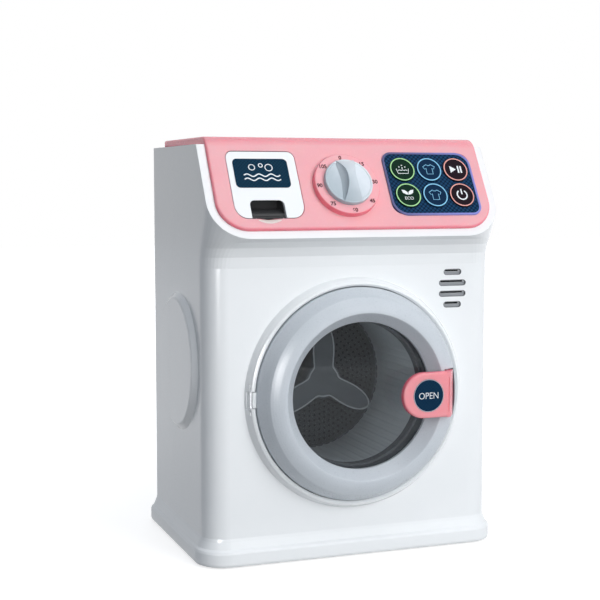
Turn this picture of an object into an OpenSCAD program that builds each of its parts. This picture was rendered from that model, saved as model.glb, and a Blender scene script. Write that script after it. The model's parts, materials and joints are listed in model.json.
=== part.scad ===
// Toy washing machine with a leaning console, a round door, a turning drum and a detergent drawer.
// Millimetres, +Z up, front towards -Y. The origin is the centre of the footprint on the floor.

/* [Cabinet] */
// Width of the cabinet across its side walls
body_w = 200; // [190:1:215]
// Depth of the cabinet from the front face to the back face
body_d = 135; // [132:1:150]
// Thickness of the moulded walls
wall = 2.4; // [2:0.1:2.8]
// Radius of the upright corners at the front
front_corner_r = 15; // [12:1:18]
// Radius of the upright corners at the back
back_corner_r = 6; // [4:0.5:8]
// Depth of the joint line between the front and the back moulding
seam_d = 77; // [74:1:80]
// Distance the base stands above the floor on its feet
foot_proud = 0.8; // [0.6:0.1:1.5]

/* [Plinth] */
// Distance the plinth stands out around the foot of the cabinet
plinth_out = 4.4; // [3:0.2:6]
// Height where the plinth's shoulder meets the wall
plinth_top = 18.5; // [17:0.5:21]
// Height where the shoulder reaches its full width
plinth_shoulder = 11.5; // [10:0.5:13]

/* [Side discs] */
// Radius of the raised disc on each side wall
disc_r = 46; // [40:1:48]
// Distance the side disc stands proud
disc_proud = 3.6; // [2:0.2:4]
// Depth of the disc's centre behind the front face
disc_depth = 65; // [60:1:70]
// Height of the disc's centre above the door's axis
disc_up = 17.5; // [12:0.5:22]

/* [Console] */
// Angle between the console's face and the upright
lean = 31; // [29:1:33]
// Height of the console's face above its lower lip
console_h = 58.5; // [57:0.5:62]
// Distance the lip stands in front of the cabinet
overhang = 14.5; // [12:0.5:16]
// Radius of the console's lower corners
console_corner_r = 26; // [22:1:28]
// Height of the hollow under the lip
undercut_h = 19; // [16:0.5:22]
// Width of the white frame left showing round the coloured panel
frame_w = 3.5; // [2.5:0.5:5]
// Distance the coloured panel stands proud of the frame
panel_proud = 2.5; // [2:0.1:3]
// Thickness of the lid that carries the panel over the top
lid_t = 5; // [4:0.5:6]
// Distance from the lid's back edge to the back face
lid_back = 14; // [10:1:20]
// Radius of the rolled edge between panel and lid
roll_r = 12; // [9:1:13]

/* [Detergent drawer] */
// Width of the drawer front
drawer_w = 45.6; // [42:0.2:47]
// Height of the drawer front up the slope
drawer_h = 48.2; // [46:0.2:49]
// Distance of the drawer's centre from the middle of the console
drawer_x = -60.2; // [-61:0.2:-59]
// Depth of the drawer's tray
tray_d = 52; // [45:1:56]
// Width of the finger recess in the drawer front
recess_w = 22.6; // [20:0.2:25]
// Height of the finger recess
recess_h = 12.7; // [11:0.1:14]
// Width of the label plate
label_w = 36.2; // [33:0.2:38]
// Height of the label plate
label_h = 21; // [19:0.5:23]

/* [Programme dial] */
// Distance of the dial's centre from the middle of the console
dial_x = -6.4; // [-8:0.2:-5]
// Radius of the raised dial ring
dial_r = 23.3; // [22:0.1:24]
// Distance the dial ring stands proud of the panel
dial_proud = 1.5; // [1:0.1:2]
// Radius of the knob
knob_r = 16.9; // [15:0.1:17.5]
// Height of the knob's grip bar above the dial ring
knob_h = 14; // [12:0.5:16]
// Radius of the knob's spindle
spindle_r = 3; // [2.5:0.1:3.5]

/* [Button plate] */
// Width of the button plate
plate_w = 63.6; // [62:0.2:65]
// Height of the button plate up the slope
plate_h = 46; // [44:0.5:47]
// Distance of the plate's centre from the middle of the console
plate_x = 55; // [54.5:0.1:56]
// Radius of the plate's corners
plate_r = 7; // [5:0.5:9]
// Width of the coloured bezel round the plate
bezel_w = 1.4; // [1:0.1:1.8]
// Distance between button centres
button_pitch = 19.4; // [19.3:0.1:19.8]
// Radius of a button
button_r = 8.9; // [8:0.1:8.9]
// Distance a button travels
button_travel = 1.2; // [0.8:0.1:1.5]

/* [Door] */
// Height of the wall between the plinth and the door
door_low_gap = 19.6; // [16:0.2:24]
// Height of the wall between the door and the hollow under the lip
door_high_gap = 13.1; // [10:0.1:18]
// Outer radius of the door's ring
door_r = 69.4; // [68:0.2:72]
// Radius of the ring's crest
crest_r = 54; // [53:0.5:55]
// Height of the crest in front of the cabinet
crest_h = 21; // [19:0.5:21.5]
// Height of the ring's outer rim in front of the cabinet
rim_h = 7.5; // [7:0.1:8]
// Radius of the window's opening
window_r = 47.6; // [46:0.2:48.5]
// Height of the window's opening in front of the cabinet
window_h = 12.8; // [12:0.2:14]
// Gap between the door and the collar round it
door_gap = 0.6; // [0.5:0.05:0.8]
// Height of the collar on the cabinet
collar_h = 6.5; // [6:0.1:7]
// Width of the collar at its foot
collar_w = 5.4; // [5.2:0.1:6.5]

/* [Door handle] */
// Distance from the door's axis to the handle's round tip
handle_tip_x = 22.5; // [20:0.5:26]
// Height of the handle across its middle
handle_span = 29.6; // [27:0.2:31]
// Distance from the cabinet to the handle's face
handle_reach = 27; // [26:0.5:29]
// Radius of the handle's round plate
handle_disc_r = 10.6; // [9:0.2:11]
// How far the handle's badge stands out of its face
disc_rise = 0.2; // [0.1:0.1:0.6]

/* [Drum] */
// Outer radius of the drum
drum_r = 55.6; // [54:0.2:56]
// Thickness of the drum's wall
drum_t = 1.8; // [1.5:0.1:2]
// Depth of the drum's mouth behind the front face
drum_front = 11.5; // [11:0.5:13]
// Space behind the drum for its drive
drive_space = 51; // [50:0.5:54]
// Length of the agitator's arms
arm_len = 39; // [34:1:42]
// Width of the agitator's arms
arm_w = 15; // [12:1:17]
// Height of the agitator in front of the drum's back wall
arm_h = 32; // [24:1:34]
// Radius of the drum's spindle
axle_r = 3; // [2.5:0.1:3.5]

/* [Drive] */
// Module of the gear teeth
gear_m = 1; // [1:0.05:1.05]
// Teeth on the drum's gear
gear_teeth = 60; // [56:4:64]
// Teeth on the motor's pinion
pinion_teeth = 15; // [14:1:16]
// Width of the gears
gear_w = 5; // [4:0.5:5]

/* [Batteries] */
// Radius of one cell
cell_r = 7.1; // [6.9:0.05:7.25]
// Length of one cell
cell_l = 50.2; // [49:0.1:50.5]

/* [Hidden] */
$fn = 64;
cut = 1;
run_gap = 0.05;
slide_gap = 0.35;
part_gap = 0.3;
hull_fn = 40;

// Heights follow one another up from the plinth, and depths back from the front face
door_z = plinth_top + door_low_gap + door_r;
undercut_z = door_z + door_r + door_high_gap;
lip_z = undercut_z + undercut_h;
body_h = lip_z + console_h;
disc_z = door_z + disc_up;
drum_back = body_d - drive_space;

// The footprint's middle is the origin, so the front face stands this far behind it
front_y = -(body_d + plinth_out - handle_reach - disc_rise) / 2;
half_w = body_w / 2;
inner_half_w = half_w - wall;
base_top = foot_proud + wall;

module from_front() { translate([0, front_y, 0]) children(); }
module on_door() { translate([0, front_y, door_z]) rotate([90, 0, 0]) children(); }
module on_panel() { translate([0, front_y - overhang, lip_z]) rotate([90 - lean, 0, 0]) children(); }
module across(width) { rotate([90, 0, 90]) translate([0, 0, -width / 2]) linear_extrude(width) children(); }
module mirrored() {
  children();
  mirror([1, 0, 0]) children();
}
module round_rect(w, h, r) {
  square([w - 2 * r, h], center = true);
  square([w, h - 2 * r], center = true);
  for (x = [-1, 1], y = [-1, 1]) translate([x * (w / 2 - r), y * (h / 2 - r)]) circle(r);
}
module tube(r_out, r_in, len) {
  difference() {
    cylinder(r = r_out, h = len);
    translate([0, 0, -cut]) cylinder(r = r_in, h = len + 2 * cut);
  }
}

// Prism of a front-view outline (x, z), between two depths behind the front face
module along_depth(near, far) {
  translate([0, front_y + far, 0]) rotate([90, 0, 0]) linear_extrude(far - near) children();
}

// Console face: v runs up the slope from the lip, w stands out of the white frame
function face_at(z, w = 0) = -overhang + (z - lip_z) * tan(lean) - w / cos(lean);
function face_z(v, w = 0) = lip_z + v * cos(lean) + w * sin(lean);
function face_v(z, w = 0) = (z - lip_z - w * sin(lean)) / cos(lean);
far = body_d + plinth_out + cut;

// ---- cabinet mouldings ----

// Footprint of the cabinet, shrunk all round by the inset
module plan(inset = 0) {
  hw = half_w - inset;
  rf = front_corner_r - inset;
  rb = back_corner_r - inset;
  near = inset;
  back = body_d - inset;
  translate([-hw, near + rf]) square([2 * hw, back - near - rf - rb]);
  translate([rf - hw, near]) square([2 * (hw - rf), body_d / 2]);
  translate([rb - hw, body_d / 2]) square([2 * (hw - rb), back - body_d / 2]);
  for (side = [-1, 1]) {
    translate([side * (hw - rf), near + rf]) circle(rf);
    translate([side * (hw - rb), back - rb]) circle(rb);
  }
}

// Section of the flared foot: distance out from a corner's centre, and height
plinth_edge = 2;
plinth_soft = 0.6;
function flare_profile(r) = [
  [0, foot_proud], [r + plinth_out - plinth_edge, foot_proud],
  [r + plinth_out - plinth_soft, foot_proud + plinth_soft], [r + plinth_out, foot_proud + plinth_edge],
  [r + plinth_out, plinth_shoulder - plinth_edge],
  [r + plinth_out - plinth_soft, plinth_shoulder - plinth_soft],
  [r + plinth_out - plinth_edge, plinth_shoulder + plinth_soft],
  [r + plinth_soft, plinth_top - plinth_edge], [r, plinth_top], [0, plinth_top]
];
module flare_corner(at, r) {
  translate([at[0], at[1], 0]) rotate_extrude() polygon(flare_profile(r));
}
// Straight run of the flare, with the outside on the right of the way it runs
module flare_run(from_xy, to_xy, r) {
  run = to_xy - from_xy;
  translate([from_xy[0], from_xy[1], 0]) rotate([0, 0, atan2(run[1], run[0])])
    rotate([90, 0, 90]) linear_extrude(norm(run)) mirror([1, 0]) polygon(flare_profile(r));
}
module plinth() {
  rf = front_corner_r;
  rb = back_corner_r;
  front_x = half_w - rf;
  back_x = half_w - rb;
  back_y = body_d - rb;
  for (side = [-1, 1]) {
    flare_corner([side * front_x, rf], rf);
    flare_corner([side * back_x, back_y], rb);
  }
  flare_run([-front_x, rf], [front_x, rf], rf);
  flare_run([back_x, rf], [back_x, back_y], rb);
  flare_run([back_x, back_y], [-back_x, back_y], rb);
  flare_run([-back_x, back_y], [-back_x, rf], rb);
}

// Everything behind the plane that lies w out of the console's face
module behind_face(width, w, top) {
  across(width) polygon([[face_at(0, w), 0], [face_at(top, w), top], [far, top], [far, 0]]);
}

// Outline of the console's face, in x and v
module face_outline(half_width, low_v, high_v, r) {
  for (side = [-1, 1]) translate([side * (half_width - r), low_v + r]) circle(r);
  translate([r - half_width, low_v]) square([2 * (half_width - r), high_v - low_v]);
  translate([-half_width, low_v + r]) square([2 * half_width, high_v - low_v - r]);
}

// Footprint slice of the hollow under the lip: out is how far it stands in front of the cabinet
slice_t = 0.1;
slice_shares = [0, 0.37, 0.68, 0.88];
corner_share = 0.7;
block_d = 12;
module lip_slice(share) {
  hollow_r = (pow(undercut_h, 2) + pow(overhang, 2)) / (2 * overhang);
  out = hollow_r - sqrt(pow(hollow_r, 2) - pow(share * undercut_h, 2));
  r = front_corner_r + (console_corner_r - front_corner_r) * out / overhang * corner_share;
  translate([0, 0, undercut_z + share * undercut_h]) linear_extrude(slice_t) {
    for (side = [-1, 1]) translate([side * (half_w - r), r - out]) circle(r, $fn = hull_fn);
    translate([-half_w, r]) square([2 * half_w, block_d]);
  }
}
module console_block() {
  last = len(slice_shares) - 1;
  for (i = [0:last - 1]) hull() {
    from_front() lip_slice(slice_shares[i]);
    from_front() lip_slice(slice_shares[i + 1]);
  }
  hull() {
    from_front() lip_slice(slice_shares[last]);
    on_panel() translate([0, 0, -slice_t]) linear_extrude(slice_t)
      face_outline(half_w, 0, face_v(body_h) - slice_t, console_corner_r, $fn = hull_fn);
  }
}

disc_soft = 0.6;
module side_disc() {
  turned = [
    [0, -wall], [disc_r, -wall], [disc_r, 0], [disc_r - disc_proud + disc_soft, disc_proud - disc_soft],
    [disc_r - disc_proud - disc_soft, disc_proud], [0, disc_proud]
  ];
  translate([half_w, disc_depth, disc_z]) rotate([0, 90, 0]) rotate_extrude() polygon(turned);
}

// Full outside of the cabinet, with both mouldings in one
module cabinet_solid() {
  from_front() {
    intersection() {
      translate([0, 0, foot_proud]) linear_extrude(body_h - foot_proud) plan();
      behind_face(2 * body_w, 0, body_h);
    }
    plinth();
    mirrored() side_disc();
  }
}

// Hollow inside the cabinet, with its upper part a step narrower than its lower part
face_t = 3;
hollow_step = 0.5;
upper_half_w = inner_half_w - hollow_step;
fold_low = 9;
fold_high = 16.5;
fold_out = 3.5;
low_front_v = 4;
module cabinet_hollow() {
  inner_top = body_h - wall;
  inner_back = body_d - wall - hollow_step;
  from_front() {
    linear_extrude(undercut_z + fold_low / 2) plan(wall);
    mirrored() translate([half_w - 2 * wall, disc_depth, disc_z]) rotate([0, 90, 0])
      cylinder(r = disc_r - 2 * disc_proud, h = wall + disc_proud);
  }
  intersection() {
    from_front() across(2 * upper_half_w) polygon([
      [wall + hollow_step, undercut_z], [wall + hollow_step, undercut_z + fold_low],
      [-fold_out, undercut_z + fold_high], [face_at(face_z(low_front_v), -face_t), face_z(low_front_v)],
      [face_at(inner_top, -face_t), inner_top], [inner_back, inner_top], [inner_back, undercut_z]
    ]);
    union() {
      on_panel() translate([0, 0, -2 * body_d]) linear_extrude(2 * body_d)
        face_outline(half_w - wall, wall, 2 * body_h, console_corner_r - wall);
      from_front() linear_extrude(body_h) plan(wall + hollow_step / 2);
    }
  }
}

// Door recess: its round wall with the collar, and its floor
collar_in = door_r + door_gap;
collar_in_soft = 1.2;
recess_d = 4.5;
floor_t = 2.4;
mouth_r = 52;
collar_top_w = 2.2;
collar_soft = 0.6;
module collar_solid() {
  foot = collar_in + collar_w;
  brow = collar_in + collar_top_w;
  rotate_extrude() polygon([
    [collar_in, -recess_d - floor_t], [collar_in + floor_t, -recess_d - floor_t],
    [collar_in + floor_t, -wall],
    [foot, -wall], [foot, 0], [foot - collar_soft, collar_h / 4], [foot - 2 * collar_soft, collar_h / 2],
    [brow + collar_soft, collar_h - collar_soft], [brow - collar_soft, collar_h],
    [collar_in + collar_in_soft, collar_h], [collar_in, collar_h - collar_in_soft]
  ]);
}

// Door hinge: its axis lies inside the collar
hinge_h = 4.2;
barrel_r = 2.3;
hinge_x = -(collar_in + barrel_r);
hinge_pin_r = 0.9;
hinge_pin_l = 19;
arm_half = 5;
module on_hinge() { on_door() translate([hinge_x, 0, hinge_h]) rotate([90, 0, 0]) children(); }

// Handle pivot and latch, measured on the door
pivot_x = 57.5;
pivot_h = 17.5;
latch_half = 4.5;
latch_tip_h = -9.6;
latch_tip_x = 60.4;
latch_gap = 0.65;
latch_room = 1.6;
module on_pivot() { on_door() translate([pivot_x, 0, pivot_h]) rotate([90, 0, 0]) children(); }
latch_slot_left = 51;
module latch_slot(left, right, top, len, half) {
  translate([left, -half, top - len]) cube([right - left, 2 * half, len]);
}

// Screw posts that join the two mouldings
post_x = half_w - 6.6;
post_near = 10;
post_low_z = base_top + 26.8;
post_high_z = lip_z - 7;
post_r = 4.5;
case_screw_r = 1.5;
case_screw_l = 20;
case_head_r = 2.8;
case_head_t = 1.8;
screw_play = 0.4;
case_web = 5;
module at_posts() {
  for (side = [-1, 1], z = [post_low_z, post_high_z]) translate([side * post_x, front_y, z])
    rotate([-90, 0, 0]) children();
}

// Sound slots: a shallow groove, with a slit through its floor under the upper edge
slot_pitch = 7.2;
slot_h = 4;
slot_long = 19.7;
slot_short = 13;
slot_d = 1.5;
slit_h = 1;
slit_up = 0.9;
speaker_x = half_w - 30.2;
speaker_z = lip_z - 35.3;
speaker_r = 15;
speaker_play = 0.2;
speaker_rim = 2;
speaker_d = 5;
module slot(w, h) {
  for (side = [-1, 1]) translate([side * (w - h) / 2, 0]) circle(h / 2);
  square([w - h, h], center = true);
}
module sound_slots(h, up) {
  for (row = [-1.5:1:1.5]) translate([speaker_x, speaker_z + row * slot_pitch + up])
    slot((abs(row) > 1 ? slot_short : slot_long) - slot_h + h, h);
}
module at_speaker() { translate([speaker_x, front_y, speaker_z]) rotate([-90, 0, 0]) children(); }

// Opening of the white frame behind the coloured panel
frame_open_x = half_w - frame_w - 8;
frame_open_low = 10;
frame_open_high = face_v(body_h) - 3.75;
frame_open_r = 12;
module front_half() {
  translate([-body_w, -body_w, 0]) cube([2 * body_w, body_w + front_y + seam_d, 2 * body_h]);
}

module front_shell() {
  color("white") difference() {
    union() {
      difference() {
        intersection() {
          union() {
            cabinet_solid();
            console_block();
          }
          front_half();
        }
        cabinet_hollow();
        on_panel() translate([0, 0, -2 * face_t]) linear_extrude(3 * face_t)
          face_outline(frame_open_x, frame_open_low, frame_open_high, frame_open_r);
        on_door() cylinder(r = collar_in, h = 4 * wall, center = true);
      }
      on_door() collar_solid();
      on_door() translate([0, 0, -recess_d - floor_t]) tube(collar_in + 1, mouth_r, floor_t);
      at_posts() translate([0, 0, post_near]) cylinder(r = post_r, h = seam_d - post_near);
      at_speaker() translate([0, 0, wall / 2])
        tube(speaker_r + speaker_rim, speaker_r + speaker_play, speaker_d - speaker_play);
    }
    along_depth(-2 * overhang, body_d) drawer_outline(slide_gap + sleeve_t + run_gap);
    along_depth(-cut, slot_d) sound_slots(slot_h, 0);
    along_depth(0, wall + cut) sound_slots(slit_h, slit_up);
    at_posts() translate([0, 0, seam_d + case_web - case_screw_l - cut])
      cylinder(r = case_screw_r, h = case_screw_l);
    on_door() translate([hinge_x - 2 * barrel_r, -arm_half - part_gap, hinge_h - barrel_r - part_gap])
      cube([3 * barrel_r + 1, 2 * (arm_half + part_gap), 3 * barrel_r]);
    on_hinge() cylinder(r = hinge_pin_r, h = hinge_pin_l, center = true);
    on_door() latch_slot(latch_slot_left, latch_tip_x + latch_room, -recess_d + cut, floor_t + 2 * cut,
      latch_half + latch_room);
  }
}

// Battery bay in the back wall
cell_pitch = 2 * cell_r + 1;
cell_count = 3;
box_t = 1.6;
spring_room = 4;
cell_play = 0.2;
bay_half_w = cell_l / 2 + spring_room;
bay_low = base_top + 20.4;
bay_high = bay_low + cell_count * cell_pitch + 2 * cell_play;
bay_floor = body_d - wall - 2 * cell_r - 1.4;
door_ledge = 1.1;
cover_lap = 2;
cover_gap = 0.35;
module bay_outline(grow) {
  translate([-bay_half_w - grow, bay_low - grow])
    square([2 * (bay_half_w + grow), bay_high - bay_low + 2 * grow]);
}

// Bracket that carries the drum and the motor
bracket_near = drum_back + 13;
bracket_t = 2.5;
bracket_post_r = 4.5;
bracket_edge = 7;
bracket_posts = [[-26, -24], [-26, 24], [52, -24], [52, 24]];
module at_bracket_posts() {
  for (spot = bracket_posts) translate([spot[0], front_y, door_z + spot[1]])
    rotate([-90, 0, 0]) children();
}

module back_shell() {
  color("white") difference() {
    union() {
      difference() {
        cabinet_solid();
        front_half();
        cabinet_hollow();
      }
      at_posts() translate([0, 0, seam_d]) cylinder(r = post_r + screw_play, h = body_d - seam_d - wall / 2);
    }
    at_posts() {
      translate([0, 0, seam_d - cut]) cylinder(r = case_screw_r + screw_play, h = body_d);
      translate([0, 0, seam_d + case_web]) cylinder(r = case_head_r + screw_play, h = body_d);
    }
    along_depth(body_d - 2 * wall, far) bay_outline(0);
    along_depth(body_d - wall + door_ledge, far) bay_outline(cover_lap + cover_gap);
    cover_hinge_sockets();
  }
}

module case_screws() {
  color("silver") at_posts() {
    translate([0, 0, seam_d + case_web - case_screw_l]) cylinder(r = case_screw_r, h = case_screw_l);
    translate([0, 0, seam_d + case_web]) cylinder(r = case_head_r, h = case_head_t);
  }
}

// Base plate and feet
foot_x = half_w - 24;
foot_near = 24;
foot_far = body_d - 23;
foot_r = 8;
stem_r = 2.5;
stem_head = 1.5;
plate_play = 0.2;
foot_spots = [[-foot_x, foot_near], [foot_x, foot_near], [-foot_x, foot_far], [foot_x, foot_far]];
module base_plate() {
  color("white") from_front() translate([0, 0, foot_proud]) linear_extrude(wall) difference() {
    plan(wall + plate_play);
    for (spot = foot_spots) translate(spot) circle(stem_r);
  }
}
module foot(n) {
  spot = foot_spots[n - 1];
  color("dimgray") from_front() translate([spot[0], spot[1], 0]) {
    cylinder(r = foot_r, h = foot_proud);
    cylinder(r = stem_r, h = base_top + stem_head);
    translate([0, 0, base_top]) cylinder(r = stem_r + stem_head, h = stem_head);
  }
}

// ---- console ----

panel_half_w = half_w - frame_w;
panel_low_v = 3.4;
panel_corner_r = console_corner_r - 4;
panel_mid_v = 37.3;
panel_hidden_v = 2;
lid_top = body_h + lid_t;
lid_far = body_d - lid_back;
lid_skin = 2.4;

// Side view of the coloured panel: up the slope, over the rolled edge and back over the top
module panel_side() {
  low_z = face_z(panel_low_v - panel_hidden_v, panel_proud);
  roll_z = lid_top - roll_r;
  roll_w = panel_proud - roll_r;
  roll_y = face_at(roll_z, roll_w);
  difference() {
    union() {
      translate([roll_y, roll_z]) circle(roll_r);
      polygon([
        [face_at(low_z, panel_proud), low_z],
        [roll_y - roll_r * cos(lean), roll_z + roll_r * sin(lean)],
        [roll_y, roll_z], [roll_y, lid_top], [lid_far, lid_top], [lid_far, 0], [0, 0]
      ]);
    }
    polygon([[face_at(0), 0], [face_at(body_h), body_h], [far, body_h], [far, 0]]);
  }
}

// Front view of the drawer front, grown all round
drawer_low_z = face_z(panel_mid_v - drawer_h / 2, panel_proud);
drawer_high_z = face_z(panel_mid_v + drawer_h / 2, panel_proud);
drawer_corner_low = 8;
drawer_corner_high = 4.5;
module drawer_outline(grow) {
  hw = drawer_w / 2 + grow;
  low = drawer_low_z - grow;
  high = drawer_high_z + grow;
  rl = drawer_corner_low + grow;
  rh = drawer_corner_high + grow;
  translate([drawer_x, 0]) {
    translate([-hw, low + rl]) square([2 * hw, high - low - rl - rh]);
    translate([rl - hw, low]) square([2 * (hw - rl), high - low - rh]);
    translate([rh - hw, low + rl]) square([2 * (hw - rh), high - low - rl]);
    for (side = [-1, 1]) {
      translate([side * (hw - rl), low + rl]) circle(rl);
      translate([side * (hw - rh), high - rh]) circle(rh);
    }
  }
}
recess_x = drawer_x - 1.2;
recess_r = 3;
recess_top = face_z(panel_mid_v - drawer_h / 2 + recess_h, panel_proud);
scoop_r = 17.5;
scoop_d = 5;
scoop_v = panel_mid_v - drawer_h / 2 + 9.5;

// Openings for the buttons, in x and v
button_x = plate_x + 0.3;
plate_mid_v = panel_mid_v + 1;
button_spots = [
  for (row = [0.5, -0.5], col = [-1:1]) [button_x + col * button_pitch, plate_mid_v + row * button_pitch]
];
plate_seat = 0.9;
plate_rise = 0.5;
bezel_rise = 0.9;
well_margin = 2;
well_w = 2 * button_pitch + 2 * button_r + well_margin;
well_h = button_pitch + 2 * button_r + well_margin;
board_post_r = 1.6;
board_post_in = 7;
board_top = -7;
board_t = 1.6;
module plate_outline(inset) {
  translate([plate_x, plate_mid_v]) round_rect(plate_w - 2 * inset, plate_h - 2 * inset, plate_r - inset);
}
module at_board_posts() {
  for (x = [-1, 1], v = [-1, 1])
    translate([plate_x + x * (plate_w / 2 - part_gap), plate_mid_v + v * (plate_h / 2 - board_post_in)])
      children();
}
dial_v = 35.6;
module on_dial() { on_panel() translate([dial_x, dial_v, 0]) children(); }

module console_panel() {
  color("pink") difference() {
    union() {
      difference() {
        intersection() {
          from_front() across(2 * panel_half_w) panel_side();
          on_panel() translate([0, 0, -body_d]) linear_extrude(2 * body_d)
            face_outline(panel_half_w, panel_low_v, 2 * body_h, panel_corner_r);
        }
        from_front() across(2 * (panel_half_w - lid_skin)) polygon([
          [face_at(body_h) + roll_r, body_h - cut], [face_at(body_h) + roll_r, lid_top - lid_skin],
          [lid_far - lid_skin, lid_top - lid_skin], [lid_far - lid_skin, body_h - cut]
        ]);
      }
      on_dial() cylinder(r = dial_r, h = panel_proud + dial_proud);
      on_panel() translate([0, 0, board_top]) linear_extrude(plate_seat - board_top) at_board_posts()
        circle(board_post_r);
    }
    along_depth(-2 * overhang, body_d) drawer_outline(slide_gap);
    on_panel() translate([recess_x, scoop_v, panel_proud - scoop_d + scoop_r]) sphere(scoop_r);
    on_dial() translate([0, 0, -cut]) cylinder(r = spindle_r + part_gap, h = 3 * panel_proud);
    on_panel() {
      translate([0, 0, plate_seat]) linear_extrude(2 * panel_proud) plate_outline(0);
      translate([button_x, plate_mid_v, 0]) cube([well_w, well_h, 4 * panel_proud], center = true);
    }
  }
}

// ---- detergent drawer ----

sleeve_t = 1.4;
sleeve_far = 70;
tray_half_w = drawer_w / 2 - 3.2;
tray_low = drawer_low_z + 1;
tray_high = drawer_high_z - 12.9;
tray_t = 1.6;
tray_r = 3;
tray_near = 16;
tray_far = tray_near + tray_d - 2;
pocket_far = 12;
pocket_play = 0.4;
pocket_roof = recess_top + 1.5;
rail_half = 12;
rail_near = 2;
guide_near = 14;
guide_w = 4;
guide_h = 3;
guide_up = 9;
module drawer_housing() {
  floor_z = drawer_low_z - slide_gap;
  rail_top = tray_low - part_gap;
  rail_far = sleeve_far - sleeve_t / 2;
  color("gainsboro") {
    difference() {
      intersection() {
        along_depth(-overhang, sleeve_far) drawer_outline(slide_gap + sleeve_t);
        from_front() behind_face(2 * body_w, 0, 2 * body_h);
      }
      along_depth(-2 * overhang, sleeve_far - sleeve_t) drawer_outline(slide_gap);
    }
    intersection() {
      along_depth(rail_near, rail_far) translate([drawer_x - rail_half, floor_z - sleeve_t / 2])
        square([2 * rail_half, rail_top - floor_z + sleeve_t / 2]);
      from_front() behind_face(2 * body_w, -sleeve_t, 2 * body_h);
    }
    for (side = [-1, 1]) along_depth(guide_near, rail_far)
      translate([drawer_x + side * (tray_half_w + slide_gap + guide_w / 2) - guide_w / 2, floor_z + guide_up])
        square([guide_w, guide_h]);
  }
}
module drawer_front() {
  color("white") difference() {
    intersection() {
      along_depth(-2 * overhang, body_d) drawer_outline(0);
      on_panel() translate([-half_w, -half_w, 0]) cube([body_w, body_w, panel_proud]);
    }
    along_depth(-2 * overhang, body_d) translate([recess_x, 0]) {
      translate([-recess_w / 2, 0]) square([recess_w, recess_top - recess_r]);
      translate([recess_r - recess_w / 2, 0]) square([recess_w - 2 * recess_r, recess_top]);
      for (side = [-1, 1]) translate([side * (recess_w / 2 - recess_r), recess_top - recess_r])
        circle(recess_r);
    }
    on_panel() label_plate(1);
  }
}
label_t = 0.8;
label_rise = 0.3;
label_r = 3;
label_x = drawer_x - 1;
label_v = panel_mid_v + 8.2;
module label_plate(t) {
  translate([label_x, label_v, panel_proud + label_rise - label_t]) linear_extrude(t + label_t)
    round_rect(label_w, label_h, label_r);
}
module drawer_label() {
  color("midnightblue") on_panel() label_plate(0);
}
// Front view of the tray, with its lower corners rounded to follow the sleeve
module tray_outline() {
  low_half = tray_half_w - tray_r;
  translate([drawer_x, tray_low]) {
    translate([-tray_half_w, tray_r]) square([2 * tray_half_w, tray_high - tray_low - tray_r]);
    translate([-low_half, 0]) square([2 * low_half, tray_high - tray_low]);
    for (side = [-1, 1]) translate([side * low_half, tray_r]) circle(tray_r);
  }
}
module drawer_tray() {
  inner_half = tray_half_w - tray_t;
  pocket_half = recess_w / 2 + pocket_play;
  pocket_low = tray_low + tray_t;
  color("dimgray") difference() {
    intersection() {
      along_depth(-overhang, tray_far) tray_outline();
      from_front() behind_face(2 * body_w, 0, 2 * body_h);
    }
    along_depth(tray_near, tray_far - tray_t) translate([drawer_x - inner_half, pocket_low])
      square([2 * inner_half, body_h]);
    along_depth(-2 * overhang, pocket_far) translate([recess_x - pocket_half, pocket_low])
      square([2 * pocket_half, pocket_roof - pocket_low]);
    intersection() {
      along_depth(-overhang, tray_near - tray_t) translate([drawer_x - inner_half, pocket_roof + tray_t])
        square([2 * inner_half, body_h]);
      from_front() behind_face(2 * body_w, -tray_t, 2 * body_h);
    }
  }
}

// ---- programme dial ----

knob_base_h = 4;
knob_low = panel_proud + dial_proud + part_gap;
knob_edge = 1.4;
grip_w = 9.5;
bow_r = 26;
bore_h = 8;
timer_w = 18;
timer_t = 9;
timer_back = 2;
module program_knob() {
  color("silver") on_dial() translate([0, 0, knob_low]) difference() {
    union() {
      rotate_extrude() polygon([
        [0, 0], [knob_r, 0], [knob_r, knob_base_h - knob_edge],
        [knob_r - knob_edge / 4, knob_base_h - knob_edge / 4], [knob_r - knob_edge, knob_base_h],
        [0, knob_base_h]
      ]);
      intersection() {
        cylinder(r = knob_r - knob_edge / 2, h = knob_h);
        translate([-grip_w / 2, -knob_r, 0]) cube([grip_w, 2 * knob_r, knob_h]);
        translate([0, 0, knob_h - bow_r]) rotate([0, 90, 0])
          cylinder(r = bow_r, h = 2 * knob_r, center = true);
      }
    }
    translate([0, 0, -cut]) cylinder(r = spindle_r, h = bore_h + cut);
  }
}
module knob_spindle() {
  low = timer_back - timer_t;
  color("lightgray") on_dial() translate([0, 0, low])
    cylinder(r = spindle_r, h = knob_low + bore_h - part_gap - low);
}
module timer_unit() {
  color("gray") on_dial() translate([0, 0, -timer_t]) difference() {
    translate([-timer_w / 2, -timer_w / 2, 0]) cube([timer_w, timer_w, timer_t]);
    translate([0, 0, timer_back - part_gap]) cylinder(r = spindle_r + run_gap, h = timer_t);
  }
}

// ---- button plate ----

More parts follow.
